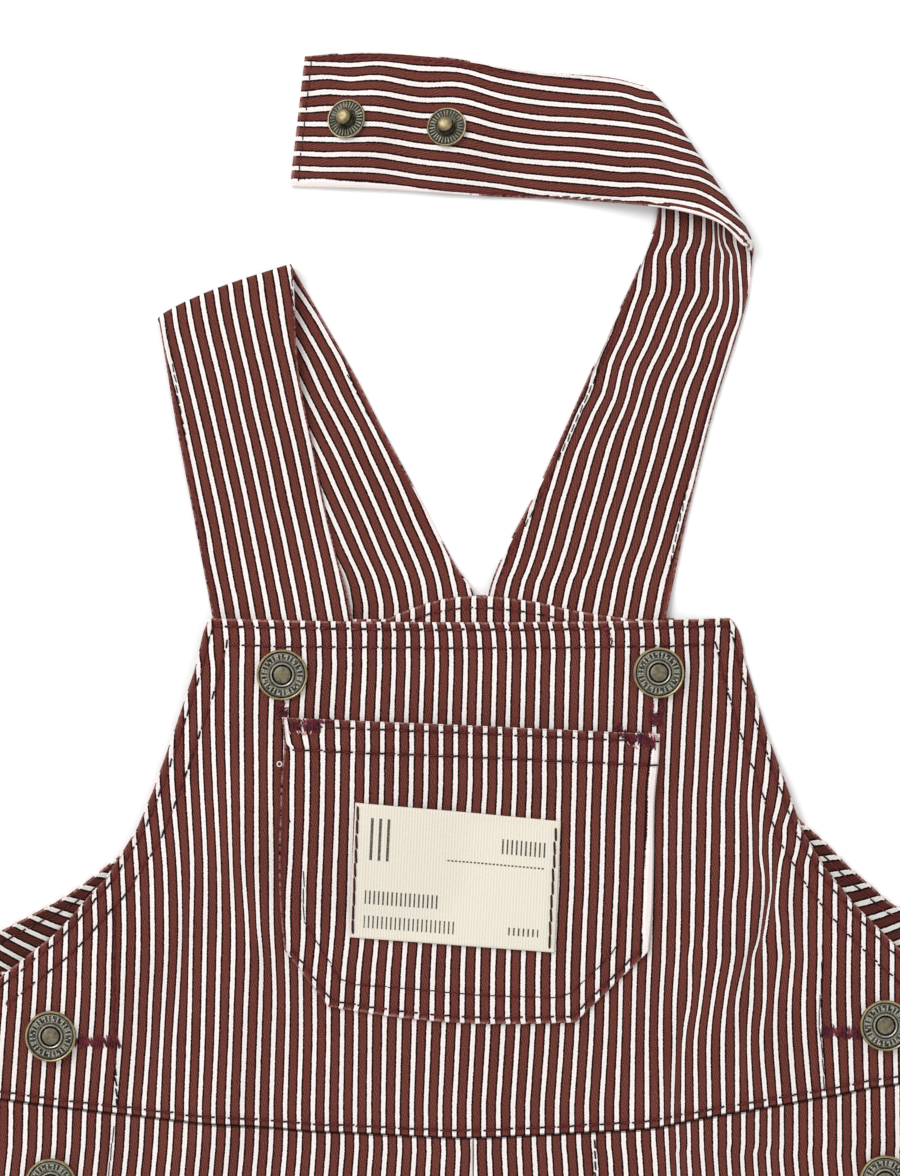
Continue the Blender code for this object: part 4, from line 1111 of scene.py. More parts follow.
BIB_GRAIN_R = (
    (-1, 6, 10, 14, 15, 16, 17, 18, 19, 20, 21, 22, 23, 25, 28, 31),
    (1.2, 23.5, 41.4, 59.2, 63.6, 68.1, 73.0, 77.2, 81.3, 85.4, 89.5, 93.7, 97.8, 106.1, 118.4, 130.8),
    (2.7, 23.8, 41.7, 59.4, 63.7, 68.2, 73.2, 77.6, 81.4, 85.4, 89.5, 93.7, 97.8, 106.1, 118.4, 130.8),
    (4.4, 24.2, 42.0, 59.5, 63.8, 68.4, 73.1, 77.4, 81.3, 85.4, 89.5, 93.7, 97.8, 106.1, 118.4, 130.8),
    (6.5, 24.4, 42.0, 59.7, 63.8, 68.3, 72.9, 77.4, 81.4, 85.4, 89.5, 93.7, 97.8, 106.1, 118.4, 130.8),
    (10.9, 24.6, 42.0, 59.7, 64.0, 68.3, 72.7, 77.1, 81.4, 85.4, 89.5, 93.7, 97.8, 106.1, 118.4, 130.8),
    (15.3, 24.4, 41.8, 59.7, 64.3, 68.3, 72.5, 76.8, 81.1, 85.2, 89.3, 93.5, 97.7, 106.0, 118.3, 130.7),
    (28.6, 24.1, 41.4, 58.9, 63.3, 67.6, 72.0, 76.4, 80.5, 84.7, 88.8, 92.9, 97.1, 105.3, 117.7, 130.1),
    (46.3, 23.7, 40.9, 58.1, 62.4, 66.7, 70.9, 75.1, 79.4, 82.9, 87.5, 91.9, 96.0, 104.3, 116.7, 129.1),
    (53.7, 23.7, 40.7, 57.9, 62.0, 66.2, 70.6, 74.6, 78.9, 82.4, 86.4, 91.2, 95.3, 102.6, 114.6, 127.0),
    (61.1, 23.7, 40.7, 57.8, 61.9, 66.1, 70.5, 74.6, 78.9, 82.7, 85.8, 89.4, 92.9, 101.6, 113.8, 126.5),
    (64.6, 23.7, 40.7, 57.8, 61.8, 66.0, 70.4, 74.6, 78.9, 82.8, 85.8, 88.6, 92.8, 101.2, 113.5, 126.2),
    (69.0, 23.6, 40.7, 57.7, 61.7, 65.9, 70.3, 74.5, 78.9, 82.9, 85.7, 88.5, 92.3, 100.3, 112.8, 125.5),
    (72.0, 23.6, 40.7, 57.7, 61.7, 65.9, 70.2, 74.5, 78.9, 82.9, 86.0, 88.6, 91.5, 99.4, 112.1, 125.2),
    (75.8, 23.6, 40.7, 57.7, 61.7, 65.8, 70.1, 74.4, 78.8, 82.9, 86.6, 88.7, 91.0, 99.2, 112.1, 124.8),
    (80.2, 23.6, 40.7, 57.7, 61.6, 65.8, 70.0, 74.3, 78.4, 82.6, 86.7, 88.8, 90.5, 99.0, 112.1, 124.5),
    (83.2, 23.5, 40.7, 57.6, 61.6, 65.7, 69.9, 74.1, 78.0, 82.3, 86.6, 88.4, 90.3, 98.9, 112.0, 124.5),
    (85.0, 23.5, 40.6, 57.6, 61.6, 65.7, 69.9, 74.0, 77.9, 82.2, 86.5, 88.1, 90.3, 98.9, 112.0, 124.5),
    (88.5, 23.5, 40.6, 57.5, 61.6, 65.6, 69.8, 73.8, 77.8, 82.1, 86.1, 87.5, 90.6, 98.9, 112.0, 124.5),
    (90.6, 23.5, 40.6, 57.4, 61.5, 65.6, 69.7, 73.7, 77.8, 82.0, 85.8, 87.2, 90.9, 98.8, 111.9, 124.5),
    (94.1, 23.4, 40.5, 57.3, 61.4, 65.5, 69.5, 73.7, 77.7, 81.9, 85.4, 86.5, 91.1, 98.9, 111.9, 124.5),
    (96.5, 23.4, 40.5, 57.2, 61.4, 65.4, 69.3, 73.6, 77.7, 81.7, 84.7, 86.6, 91.3, 98.9, 111.8, 124.5),
    (100.9, 23.3, 40.4, 57.1, 61.2, 64.9, 69.3, 73.5, 77.5, 81.3, 83.4, 86.9, 91.5, 99.0, 111.7, 124.5),
    (113.0, 23.2, 40.4, 56.4, 60.3, 64.8, 68.0, 71.6, 75.5, 78.8, 83.0, 87.0, 90.2, 98.4, 111.7, 124.5),
    (124.8, 22.7, 40.0, 56.2, 60.4, 63.0, 66.5, 70.4, 74.5, 78.9, 82.2, 85.9, 90.1, 98.8, 112.2, 125.4),
    (143.7, 21.3, 38.8, 56.7, 59.7, 62.7, 66.7, 70.6, 74.8, 78.8, 83.0, 87.4, 91.4, 100.5, 112.8, 125.7),
)
TUCK_DROPS = (62.0, 104.0)      # where the mesh is finer, for the tuck
TUCK_SHARES = (0.60, 0.84)
TUCK_STEPS = (0.62, 0.0046)
BIB_STITCH_1 = 2.2
BIB_STITCH_2 = 7.6
ARMHOLE_FOOT = 114.0
WAIST_STITCH_UP = 2.2
BIB_WAVE = 0.30
SEAM_SHADE = -1.0          # the edge mark of a row that lies in a seam
PLACKET_LINE = {
    -1: ((-104.4, 85.0), (-104.3, 130.0), (-103.6, 144.0)),
    1: ((103.5, 96.0), (103.2, 106.0), (102.5, 115.0), (102.3, 119.0), (103.0, 124.0), (103.8, 132.5),
        (104.0, 139.0)),
}


def front_waist(across):
    """Drop of the front waist seam at a share of the half waist."""
    return np.interp(across * HALF_WAIST, *spline(WAIST_SEAM, 6).T)


def bib_top(across):
    """Drop of the bib's top edge at a share of its half width."""
    return BIB_TOP_DIP * (1 - across ** 2)


def soft_folds(plan):
    """Height that the broad soft folds add."""
    return sum(soft_line(plan, (row[:2], row[2:4]), *row[4:]) for row in FOLDS)


# The studs that hold the left strap lie hidden between it and the bib
for node_name in ("stud_strap_l_upper", "stud_strap_l_lower"):
    low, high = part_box(node_name)
    centre = (low + high) / 2 / MM
    pile.lay_disc(centre.x, BIB_TOP_Y - centre.y, (high.x - low.x) / 2 / MM, high.z / MM)

drops = spread_out(0, BIB_DEPTH, 1.25, (0.6, 1.9, 3.1))
drops = np.union1d(drops, np.arange(*TUCK_DROPS, TUCK_STEPS[0]))
across = np.union1d(spread_out(-1, 1, 0.0092, (0.004,)), np.arange(*TUCK_SHARES, TUCK_STEPS[1]))
drops = drops[np.append(np.diff(drops) > 0.2, True)]
across = across[np.append(np.diff(across) > 0.0015, True)]
bib_plan = body_plan(BIB_EDGE_L, BIB_EDGE_R, bib_top, front_waist, drops, across)
bib_top_line = bib_plan[0]
waist_line = bib_plan[-1]
armhole_rows = drops < ARMHOLE_FOOT
bib_lines = {
    "top_1": inset_line(bib_top_line, -BIB_STITCH_1)[3:-3],
    "top_2": inset_line(bib_top_line, -BIB_STITCH_2)[10:-10],
    "waist": inset_line(waist_line, WAIST_STITCH_UP),
}
for side, tag, column in ((-1, "l", 0), (1, "r", -1)):
    edge_line = bib_plan[armhole_rows, column]
    bib_lines[f"armhole_1_{tag}"] = inset_line(edge_line, -side * BIB_STITCH_1)[2:]
    bib_lines[f"armhole_2_{tag}"] = inset_line(edge_line, -side * BIB_STITCH_2)[6:]
    bib_lines[f"placket_{tag}"] = np.array(PLACKET_LINE[side])
inside = np.abs(bib_plan[:, -1:, 0]) - np.abs(bib_plan[..., 0])
below_top = bib_plan[..., 1] - bib_plan[:1, :, 1]
pressed = smooth(inside / EDGE_PRESS) * smooth(below_top / EDGE_PRESS)
bib_under = pile.under(bib_plan)
bib_relief = (BODY_FULLNESS + soft_folds(bib_plan) + undulation(bib_plan, BIB_WAVE, 3)) * pressed
bib_relief += sum(soft_line(bib_plan, line, half, height) for line, half, height in BIB_CREASES)
bib_relief = np.maximum(bib_relief, 0.0)
bib_relief += sum(sewn_in(bib_plan, line) for line in bib_lines.values())
grain = drawn_grain(bib_plan, bib_under + bib_relief + WALL, BIB_GRAIN_L, BIB_GRAIN_R)
edge = edge_of(bib_plan, bib_top_line, bib_plan[:, 0], bib_plan[:, -1])
edge[-1] = SEAM_SHADE
lay_cloth("bib_cloth", bib_plan, bib_under + bib_relief, grain, edge, "front_bib", (0.286, 0.153),
          0.0352, seams=list(bib_lines.values()))

# ---------------------------------------------------------------------------
# The trouser fronts: two panels joined at the centre front, sewn to the bib at the
# waist.  A curved line of stitching on the right stands for a fly, and a close row on
# the left one carries the placket of the side opening on.
# ---------------------------------------------------------------------------
CENTRE_FRONT = 0.9
LEG_GRAIN_L = (
    (-1, -32, -28, -20, -12, -6, 0),
    (140.0, -135.4, -117.8, -83.4, -49.9, -25.4, 0.6),
    (155.5, -135.6, -118.4, -84.2, -50.3, -25.0, 0.7),
    (163.4, -136.4, -119.2, -84.9, -50.9, -25.5, 0.6),
    (220.0, -142.0, -124.8, -90.2, -55.6, -29.6, -3.0),
    (300.0, -148.5, -131.3, -97.0, -62.7, -37.0, -11.2),
    (420.0, -154.0, -136.8, -102.5, -68.2, -42.5, -16.7),
    (672.0, -160.0, -142.8, -108.5, -74.2, -48.5, -22.7),
)
LEG_GRAIN_R = (
    (-1, 0, 8, 12, 13, 14, 15, 16, 20, 22, 30),
    (140.0, 1.3, 36.3, 53.8, 57.4, 60.6, 64.2, 68.0, 84.9, 91.9, 126.0),
    (155.5, 1.3, 36.5, 54.2, 58.2, 61.4, 64.6, 68.3, 84.7, 91.9, 126.2),
    (163.4, 1.5, 37.2, 54.8, 58.7, 61.4, 64.8, 68.9, 84.4, 92.1, 126.4),
    (220.0, 4.5, 40.4, 57.8, 61.8, 65.2, 69.0, 73.0, 89.6, 97.6, 131.5),
    (300.0, 11.0, 45.3, 62.5, 66.8, 71.1, 75.4, 79.7, 96.8, 105.4, 139.8),
    (672.0, 22.7, 57.0, 74.2, 78.5, 82.8, 87.1, 91.4, 108.6, 117.1, 151.4),
)
FLY_LINE = ((36.6, 150.0), (37.2, 185.0), (36.0, 205.0), (30.0, 222.0), (18.0, 234.0), (2.4, 240.0))
LEG_PLACKET_LINE = ((-104.4, 149.0), (-105.0, 153.0), (-106.4, 165.0), (-108.6, 196.0))
LEG_CREASE = (((61.0, 142), (62.0, 160), (66, 200)), 2.2, -0.7)
LEG_FULL_BELOW = 90.0
LEG_WAVE = 0.5
INSEAM_FROM = 6.0          # how far the inner edges stand apart where the inseam is fully pressed
HEM_STITCH_UP = 20.0
SEWN_ON = {-1: ("hem_l", "placket_l"), 1: ("hem_r", "fly")}
front_legs = {}
leg_lines = {}
for side, tag in SIDES:
    steps = spread_out(0, LEG_EDGES[-1][0], 2.1, (0.7,))
    across = spread_out(0, 1, 0.0125, (0.004,))
    plan = leg_plan(side, front_waist, steps, across, CENTRE_FRONT)
    hem = plan[-1] - (0.0, HEM_STITCH_UP)
    leg_lines[f"hem_{tag}"] = hem
    if side < 0:
        leg_lines["placket_l"] = np.array(LEG_PLACKET_LINE)
    else:
        leg_lines["fly"] = np.array(FLY_LINE)
    inner = np.interp(steps, *np.array(LEG_EDGES)[:, :2].T)[:, None]
    reach = np.abs(plan[..., 0])
    inseam = smooth(inner / INSEAM_FROM) * (1 - smooth((reach - inner) / EDGE_PRESS))
    pressed = smooth((reach[:, -1:] - reach) / EDGE_PRESS) * (1 - inseam)
    below = (plan[..., 1] - plan[:1, :, 1]) / LEG_FULL_BELOW
    fullness = BODY_FULLNESS + (LEG_FULLNESS - BODY_FULLNESS) * smooth(below)
    relief = (fullness + soft_folds(plan) + undulation(plan, LEG_WAVE, 11 + side)) * pressed
    relief += soft_line(plan, *LEG_CREASE)
    relief = np.maximum(relief, 0.0)
    sewn = [line for name, line in leg_lines.items() if name in SEWN_ON[side]]
    relief += sum(sewn_in(plan, line) for line in sewn)
    under = pile.under(plan)
    grain = drawn_grain(plan, under + relief + WALL, LEG_GRAIN_L if side < 0 else LEG_GRAIN_R)
    edge = edge_of(plan, plan[-1])
    edge[0] = SEAM_SHADE
    lay_cloth(f"front_leg_cloth_{tag}", plan, under + relief, grain, edge, f"front_leg_{tag}",
              (0.168, 0.523), 0.0775, seams=sewn)
    front_legs[tag] = skin_of(plan, under + relief)
pile.lay(skin_of(bib_plan, bib_under + bib_relief))
for skin in front_legs.values():
    pile.lay(skin)

# ---------------------------------------------------------------------------
# The chest pocket: a patch with a deep turned hem at its mouth and cut-off lower
# corners.  It is drawn in along its sides, and sewn along its foot and round inside.
# ---------------------------------------------------------------------------
POCKET_ROWS = (
    # left x, left drop, right x, right drop
    (-54.9, 28.9, 55.6, 33.9),
    (-54.3, 37.5, 55.4, 40.5),
    (-55.2, 46.4, 54.4, 51.0),
    (-55.5, 57.0, 54.1, 60.0),
    (-56.0, 70.0, 54.0, 71.0),
    (-55.8, 84.0, 53.6, 85.0),
    (-54.6, 97.2, 52.6, 97.6),
)
POCKET_FOOT = (-41.8, 114.0, 31.0, 118.6)
POCKET_FOOT_DIP = 2.4
POCKET_GRAIN = (
    # The last two columns are the two edges of the wide stripe on the right side
    (-1, -12, -11, -10, -9, -8, 0, 6, 11, 11.86, 12.14),
    (29.0, -54.9, -49.3, -43.4, -39.5, -34.5, 0.1, 26.4, 49.7, 53.8, 57.1),
    (33.5, -54.2, -48.9, -43.5, -39.1, -34.5, 0.1, 26.4, 49.4, 53.7, 57.1),
    (37.0, -53.5, -48.3, -43.5, -39.1, -34.5, 0.1, 26.4, 49.3, 53.7, 57.0),
    (38.6, -52.5, -48.1, -43.4, -38.9, -34.5, 0.1, 26.4, 49.2, 53.6, 56.9),
    (43.4, -52.4, -48.0, -43.4, -39.0, -34.7, 0.1, 26.3, 49.0, 53.0, 56.4),
    (50.7, -52.6, -48.0, -43.5, -39.1, -34.8, 0.0, 26.3, 48.5, 52.3, 55.8),
    (59.6, -52.6, -48.2, -43.7, -39.3, -35.0, -0.6, 26.0, 48.1, 52.1, 55.5),
    (71.4, -53.0, -48.7, -44.1, -39.8, -35.3, -1.1, 25.8, 47.8, 51.6, 55.4),
    (80.2, -53.6, -49.0, -44.5, -40.1, -35.5, -1.4, 25.6, 47.5, 51.2, 55.2),
    (89.1, -53.8, -49.1, -44.8, -40.4, -35.8, -1.7, 25.1, 47.1, 50.9, 54.9),
    (96.5, -53.6, -49.4, -44.9, -41.0, -36.3, -1.9, 24.8, 46.8, 50.6, 54.8),
    (105.3, -54.0, -50.2, -45.8, -41.7, -37.3, -2.2, 24.5, 46.4, 50.4, 54.6),
    (120.0, -54.8, -50.6, -46.6, -42.5, -38.2, -2.4, 24.5, 46.2, 50.2, 54.3),
)
POCKET_STITCH_IN = 2.0
POCKET_SIDE_IN = 1.0
POCKET_MOUTH_IN = 2.3
POCKET_HEM = 9.3
POCKET_HEM_RISE = 0.35
POCKET_HEM_STEP = 2.0
POCKET_FULLNESS = 0.3
POCKET_PRESS = 12.0
POCKET_WAVE = 0.12
POCKET_SIDE_SHADE = -0.7
side_rows = spline(POCKET_ROWS, 22)
foot_share = spread_out(0, 1, 0.07)[1:, None]
foot_rows = side_rows[-1] * (1 - foot_share) + np.array(POCKET_FOOT) * foot_share
rows = np.vstack((side_rows, foot_rows))
pocket_plan = crosswise(rows, spread_out(0, 1, 0.0125, (0.005,)))
dip = np.concatenate((np.zeros(len(side_rows)), foot_share[:, 0] ** 2))[:, None]
pocket_plan[..., 1] += POCKET_FOOT_DIP * dip * np.sin(np.linspace(0, math.pi, pocket_plan.shape[1]))
pocket_rim = np.vstack((pocket_plan[:, 0], pocket_plan[-1, 1:], pocket_plan[::-1, -1][1:]))
mouth = pocket_plan[0]
corner = len(side_rows)
pocket_lines = {
    "mouth_1": inset_line(mouth, -POCKET_MOUTH_IN),
    "mouth_2": inset_line(mouth, -POCKET_HEM),
    "rim": inset_line(pocket_rim, POCKET_STITCH_IN)[corner:-corner],
    "side_l": inset_line(pocket_plan[:corner, 0], POCKET_SIDE_IN),
    "side_r": inset_line(pocket_plan[:corner, -1], -POCKET_SIDE_IN),
    "inner": np.array(((-48.6, 74.0), (-49.2, 88.0), (-37.6, 107.0), (2.5, 110.6), (28.0, 111.5),
                       (43.2, 97.2), (44.0, 86.0))),
}
pocket_under = pile.under(pocket_plan)
pocket_relief = sum(sewn_in(pocket_plan, line) for line in pocket_lines.values())
pocket_relief += (POCKET_FULLNESS * smooth(edge_of(pocket_plan, pocket_rim) / POCKET_PRESS)
                  + undulation(pocket_plan, POCKET_WAVE, 8))
past_hem = edge_of(pocket_plan, mouth) - POCKET_HEM + POCKET_HEM_STEP / 2
pocket_relief += POCKET_HEM_RISE * (1 - smooth(past_hem / POCKET_HEM_STEP))
grain = drawn_grain(pocket_plan, pocket_under + pocket_relief + WALL, POCKET_GRAIN)
edge = edge_of(pocket_plan, pocket_rim, mouth)
edge[4:corner, -1] = POCKET_SIDE_SHADE
lay_cloth("pocket_cloth", pocket_plan, pocket_under + pocket_relief, grain, edge,
          "chest_pocket", (0.110, 0.090), 0.0090, seams=list(pocket_lines.values()))
pile.lay(skin_of(pocket_plan, pocket_under + pocket_relief))

# ---------------------------------------------------------------------------
# The woven label: a cream ribbed tab sewn to the pocket along its two short sides.
# Its print is plain ticks and a dashed rule.
# ---------------------------------------------------------------------------
LABEL_ROWS = (
    (-33.5, 53.7, 26.6, 59.5),
    (-35.4, 93.5, 24.7, 98.0),
)
LABEL_WALL = 0.8
LABEL_SIZE = (60.0, 40.0)
RIB_PITCH = 0.85
label_paint, tree, shader = new_material("label_weave")
label_uv = node(tree, "UVMap", uv_map="grain").outputs[0]
parts = node(tree, "SeparateXYZ", {0: label_uv}).outputs
rib = scaled(maths("SINE", times(parts["X"], 2 * math.pi / RIB_PITCH)), 0.5, 0.5)
yarn = noise(label_uv, 1.6, 3.0, 0.7)
tone = plus(times(rib, 0.35), times(yarn, 0.7))
cream = blend(tone, (0.63, 0.578, 0.478, 1), (0.79, 0.748, 0.652, 1))
pink = minus(1.0, maths("DIVIDE", maths("MAXIMUM", mark_of(tree, "edge"), 0.0), 1.6), clamp=True)
cream = blend(times(pink, 0.45), cream, (0.80, 0.58, 0.52, 1))


def within(value, low, high):
    """One where a value lies between two limits, and nought elsewhere."""
    above = maths("GREATER_THAN", value, low)
    return times(above, maths("LESS_THAN", value, high))


TICK_ROWS = (
    # from x, to x, from drop, to drop, tick pitch, tick share
    (4.0, 11.0, 4.0, 16.5, 2.4, 0.34),
    (27.0, 56.0, 14.6, 15.1, 1.1, 0.62),
    (43.0, 56.0, 7.0, 11.5, 1.35, 0.38),
    (4.0, 26.0, 25.5, 29.6, 1.3, 0.38),
    (4.0, 31.0, 33.0, 36.8, 1.3, 0.34),
    (46.0, 55.0, 33.4, 35.8, 1.4, 0.36),
)
printed = 0.0
for from_x, to_x, from_drop, to_drop, pitch, share in TICK_ROWS:
    spot = times(within(parts["X"], from_x, to_x), within(parts["Y"], from_drop, to_drop))
    tick = maths("LESS_THAN", maths("FRACT", maths("DIVIDE", parts["X"], pitch)), share)
    printed = maths("MAXIMUM", printed, times(spot, tick))
ink = times(printed, scaled(yarn, 1.0, 0.42, clamp=True))
fill(shader, {"Base Color": blend(ink, cream, (0.035, 0.033, 0.024, 1)), "Roughness": scaled(yarn, 0.1, 0.78),
              "Normal": bumped(plus(rib, yarn), 0.5, 0.0002), "Specular IOR Level": 0.2})

label_share = spread_out(0, 1, 0.02, (0.008,))
label_plan = crosswise(spline(LABEL_ROWS, 34), label_share)
label_down = np.linspace(0, LABEL_SIZE[1], len(label_plan))
label_grain = np.stack(np.meshgrid(label_share * LABEL_SIZE[0], label_down), axis=-1)
label_under = pile.under(label_plan)
label_lines = {
    "left": np.array((label_plan[0, 0] + (0.9, 1.0), label_plan[-1, 0] + (0.9, -1.0))),
    "right": np.array((label_plan[0, -1] + (-1.4, 2.0), label_plan[-1, -1] + (-1.6, -1.2))),
}
label_relief = sum(sewn_in(label_plan, line) for line in label_lines.values())
label_relief += 0.25 * np.sin(math.pi * label_share)
middle = np.dstack((label_plan, label_under + label_relief + LABEL_WALL / 2))
label = cloth_shell("label_cloth", middle, (0.0, 0.0, 1.0), label_grain,
                    edge_of(label_plan, label_plan[:, 0]), label_paint, LABEL_WALL)
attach(label, "root")
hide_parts("woven_label")
label_skin = np.dstack((label_plan, label_under + label_relief + LABEL_WALL))
note_skin("label_cloth", label_skin, np.full(label_grain.shape, 0.5))
pile.lay(label_skin)

# ---------------------------------------------------------------------------
# The sewing thread: dark red topstitching on turned edges and seams, dense crimson
# bar tacks where a seam takes the strain, a few faded tacks and one loose loop.
# ---------------------------------------------------------------------------
STITCH_LENGTH = 2.95
STITCH_GAP = 0.16
STITCH_LEAN = 0.30
STITCH_WAVER = 0.05
LEAN_SPREAD = 0.12
TIGHT_LENGTH = 5.0         # close rows without gaps: the plackets and the pocket's inner row
LABEL_STITCH_LENGTH = 4.0
THREAD_RADIUS = 0.26
STRAP_THREAD_RADIUS = 0.16
HEAVY_RADIUS = 0.34
PLACKET_RADIUS = 0.15
INNER_RADIUS = 0.16
TACK_RADIUS = 0.19
LOOSE_RADIUS = 0.2
THREAD_END = 0.55          # how thin a stitch is where it dips in
THREAD_SIDES = 6
STITCH_AT = (0.0, 0.12, 0.3, 0.5, 0.7, 0.88, 1.0)
STITCH_RISE = (-0.30, 0.08, 0.20, 0.24, 0.20, 0.08, -0.30)
TACK_RISE = (-0.1, 0.2, 0.3, 0.36, 0.3, 0.2, -0.1)
TIGHT_RISE = (0.02, 0.10, 0.14, 0.16, 0.14, 0.10, 0.02)
LOOP_RISE = (0.15,) * len(STITCH_AT)
STRAP_SEWN = {
    # strap and run: for each long edge, the axis (0 x, 1 drop) and from where to where it is sewn
    ("l", "lower"): ((1, -math.inf, math.inf), (1, -72.0, -55.0)),
    ("l", "upper"): ((1, -math.inf, math.inf), (1, -math.inf, -84.0)),
    ("r", "lower"): ((1, -84.0, math.inf), (1, -84.0, math.inf)),
    ("r", "upper"): ((0, -math.inf, 34.0), (0, -8.0, 46.0)),
}
STRAP_END_IN = 2.2
SIDE_TICK = np.array(((-53.5, 59.8), (-52.4, 59.0)))

thread_draw = np.random.default_rng(41)


def thread_look(name, low, high, sunk=0.95, over_white=(0.0025, 0.0007, 0.001, 1)):
    """Twisted cotton thread in two tones of one colour, which looks darker over the white stripes."""
    made, tree, shader = new_material(name)
    place = node(tree, "TexCoord").outputs["Object"]
    fuzz = noise(place, 2600.0, 2.0, 0.6)
    patchy = noise(place, 420.0, 2.0)
    mixed = scaled(patchy, 2.4, scaled(fuzz, 0.8, -1.15))
    twisted = blend(node(tree, "Clamp", {0: mixed}).outputs[0], low, high)
    tone = blend(times(mark_of(tree, "over_white"), sunk), twisted, over_white)
    fill(shader, {"Base Color": tone, "Roughness": scaled(fuzz, 0.2, 0.55),
                  "Normal": bumped(fuzz, 0.4, 0.0001), "Specular IOR Level": 0.25})
    return made


topstitch_thread = thread_look("topstitch_thread", (0.040, 0.005, 0.006, 1), (0.150, 0.022, 0.024, 1))
dark_thread = thread_look("dark_thread", (0.003, 0.001, 0.001, 1), (0.060, 0.005, 0.008, 1))
heavy_thread = thread_look("heavy_thread", (0.040, 0.004, 0.006, 1), (0.200, 0.030, 0.034, 1))
tack_thread = thread_look("tack_thread", (0.040, 0.003, 0.010, 1), (0.170, 0.020, 0.032, 1), 0.0)
faded_thread = thread_look("faded_thread", (0.40, 0.13, 0.13, 1), (0.84, 0.60, 0.58, 1), 0.0)
loose_thread = thread_look("loose_thread", (0.60, 0.55, 0.52, 1), (0.90, 0.86, 0.83, 1), 0.0)


def rest_at(x, drop, skins, above=60.0):
    """Height of the uppermost of some pieces at one spot, and whether a white stripe runs there."""
    spot = (x * MM, (BIB_TOP_Y - drop) * MM, above * MM)
    found = None
    for name in skins:
        tree, plan, count = SKINS[name]
        hit, _, cell, _ = tree.ray_cast(spot, (0, 0, -1))
        if hit is None or (found and hit.z / MM <= found[0]):
            continue
        i, j = divmod(cell, count.shape[1] - 1)
        step = plan[i, j + 1] - plan[i, j]
        share = np.clip((np.array((x, drop)) - plan[i, j]) @ step / (step @ step), 0, 1)
        here = (count[i, j] * (1 - share) + count[i, j + 1] * share + 0.5) % 1 - 0.5
        found = (hit.z / MM, abs(here) < WHITE_SHARE / 2 + 0.02)
    return found


def along_line(line, length, gap):
    """The two ends of each stitch on a line of points."""
    line = np.array(line, dtype=float)
    run = np.concatenate(([0.0], np.cumsum(np.linalg.norm(np.diff(line, axis=0), axis=1))))
    count = max(int(round(run[-1] / (length + gap))), 1)
    pitch = run[-1] / count
    for k in range(count):
        ends = np.array((k * pitch + gap / 2, (k + 1) * pitch - gap / 2))
        ends += thread_draw.normal(0, STITCH_WAVER, 2)
        points = np.column_stack([np.interp(ends, run, line[:, axis]) for axis in (0, 1)])
        aside = (points[1] - points[0])[::-1] * (1, -1) / length
        points += thread_draw.normal(0, STITCH_WAVER, 2)
        yield points + np.outer((-0.5, 0.5), aside) * thread_draw.normal(STITCH_LEAN, LEAN_SPREAD)


def sew(name, stitches, skins, look, rises=STITCH_RISE, radius=THREAD_RADIUS):
    """Short bowed threads from end to end, each dipping into the cloth that carries it."""
    bm = bmesh.new()
    crossing = bm.verts.layers.float.new("over_white")
    for first, second in stitches:
        span = second - first
        length = np.linalg.norm(span)
        if length < 0.2:
            continue
        side = np.array((-span[1], span[0])) / length
        rings = []
        for share, rise in zip(STITCH_AT, rises):
            x, drop = first + span * share
            rest = rest_at(x, drop, skins)
            if rest is None:
                break
            rest, white = rest
            thick = radius * (THREAD_END if share in (0.0, 1.0) else 1.0)
            ring = []
            for k in range(THREAD_SIDES):
                angle = 2 * math.pi * k / THREAD_SIDES
                out, up = thick * math.cos(angle), thick * math.sin(angle)
                spot = (x + side[0] * out, BIB_TOP_Y - drop - side[1] * out, rest + rise + up)
                ring.append(bm.verts.new([value * MM for value in spot]))
                ring[-1][crossing] = white
            rings.append(ring)
        if len(rings) < len(rises):
            for ring in rings:
                for vertex in ring:
                    bm.verts.remove(vertex)
            continue
        for low, high in zip(rings, rings[1:]):
            for k in range(THREAD_SIDES):
                after = (k + 1) % THREAD_SIDES
                bm.faces.new((low[k], low[after], high[after], high[k]))
        bm.faces.new(rings[0])
        bm.faces.new(rings[-1])
    bmesh.ops.recalc_face_normals(bm, faces=bm.faces)
    mesh = bpy.data.meshes.new(name)
    bm.to_mesh(mesh)
    bm.free()
    mesh.shade_smooth()
    mesh.materials.append(look)
    piece = bpy.data.objects.new(name, mesh)
    bpy.context.collection.objects.link(piece)
    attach(piece, "root")
    return piece


def stitches_on(*lines, length=STITCH_LENGTH, gap=STITCH_GAP):
    """All the stitches of some lines, one after the other."""
    return [ends for line in lines for ends in along_line(line, length, gap)]


sew("stitches_facings", stitches_on(*facing_lines.values()),
    ["armhole_facing_cloth_l", "armhole_facing_cloth_r"], topstitch_thread)
sew("stitches_back_top", stitches_on(top_facing_line[12:-12]), ["top_facing_cloth"], topstitch_thread)
for tag, strap in (("l", left), ("r", right)):
    for part in ("lower", "upper"):
        lines = []
        for column, (axis, low, high) in zip((0, -1), STRAP_SEWN[tag, part]):
            line = strap_edge_line(strap, part, column)
            lines.append(line[(line[:, axis] > low) & (line[:, axis] < high)])
        if (tag, part) == ("r", "upper"):
            lines.append(strap[part][-1, 2:-2] + (STRAP_END_IN, 0.0))
        sew(f"stitches_strap_{tag}_{part}", stitches_on(*lines), [f"strap_cloth_{tag}_{part}"],
            topstitch_thread, radius=STRAP_THREAD_RADIUS)
sew("stitches_bib_top", stitches_on(bib_lines["top_1"]), ["bib_cloth"], heavy_thread, radius=HEAVY_RADIUS)
single = [line for name, line in bib_lines.items() if name not in ("top_1", "placket_r")]
sew("stitches_bib", stitches_on(*single), ["bib_cloth"], topstitch_thread)
for name, line, skin in (("stitches_placket_r", bib_lines["placket_r"], "bib_cloth"),
                         ("stitches_placket_l", leg_lines["placket_l"], "front_leg_cloth_l")):
    sew(name, stitches_on(line, length=TIGHT_LENGTH, gap=0.0), [skin], dark_thread, TIGHT_RISE,
        PLACKET_RADIUS)
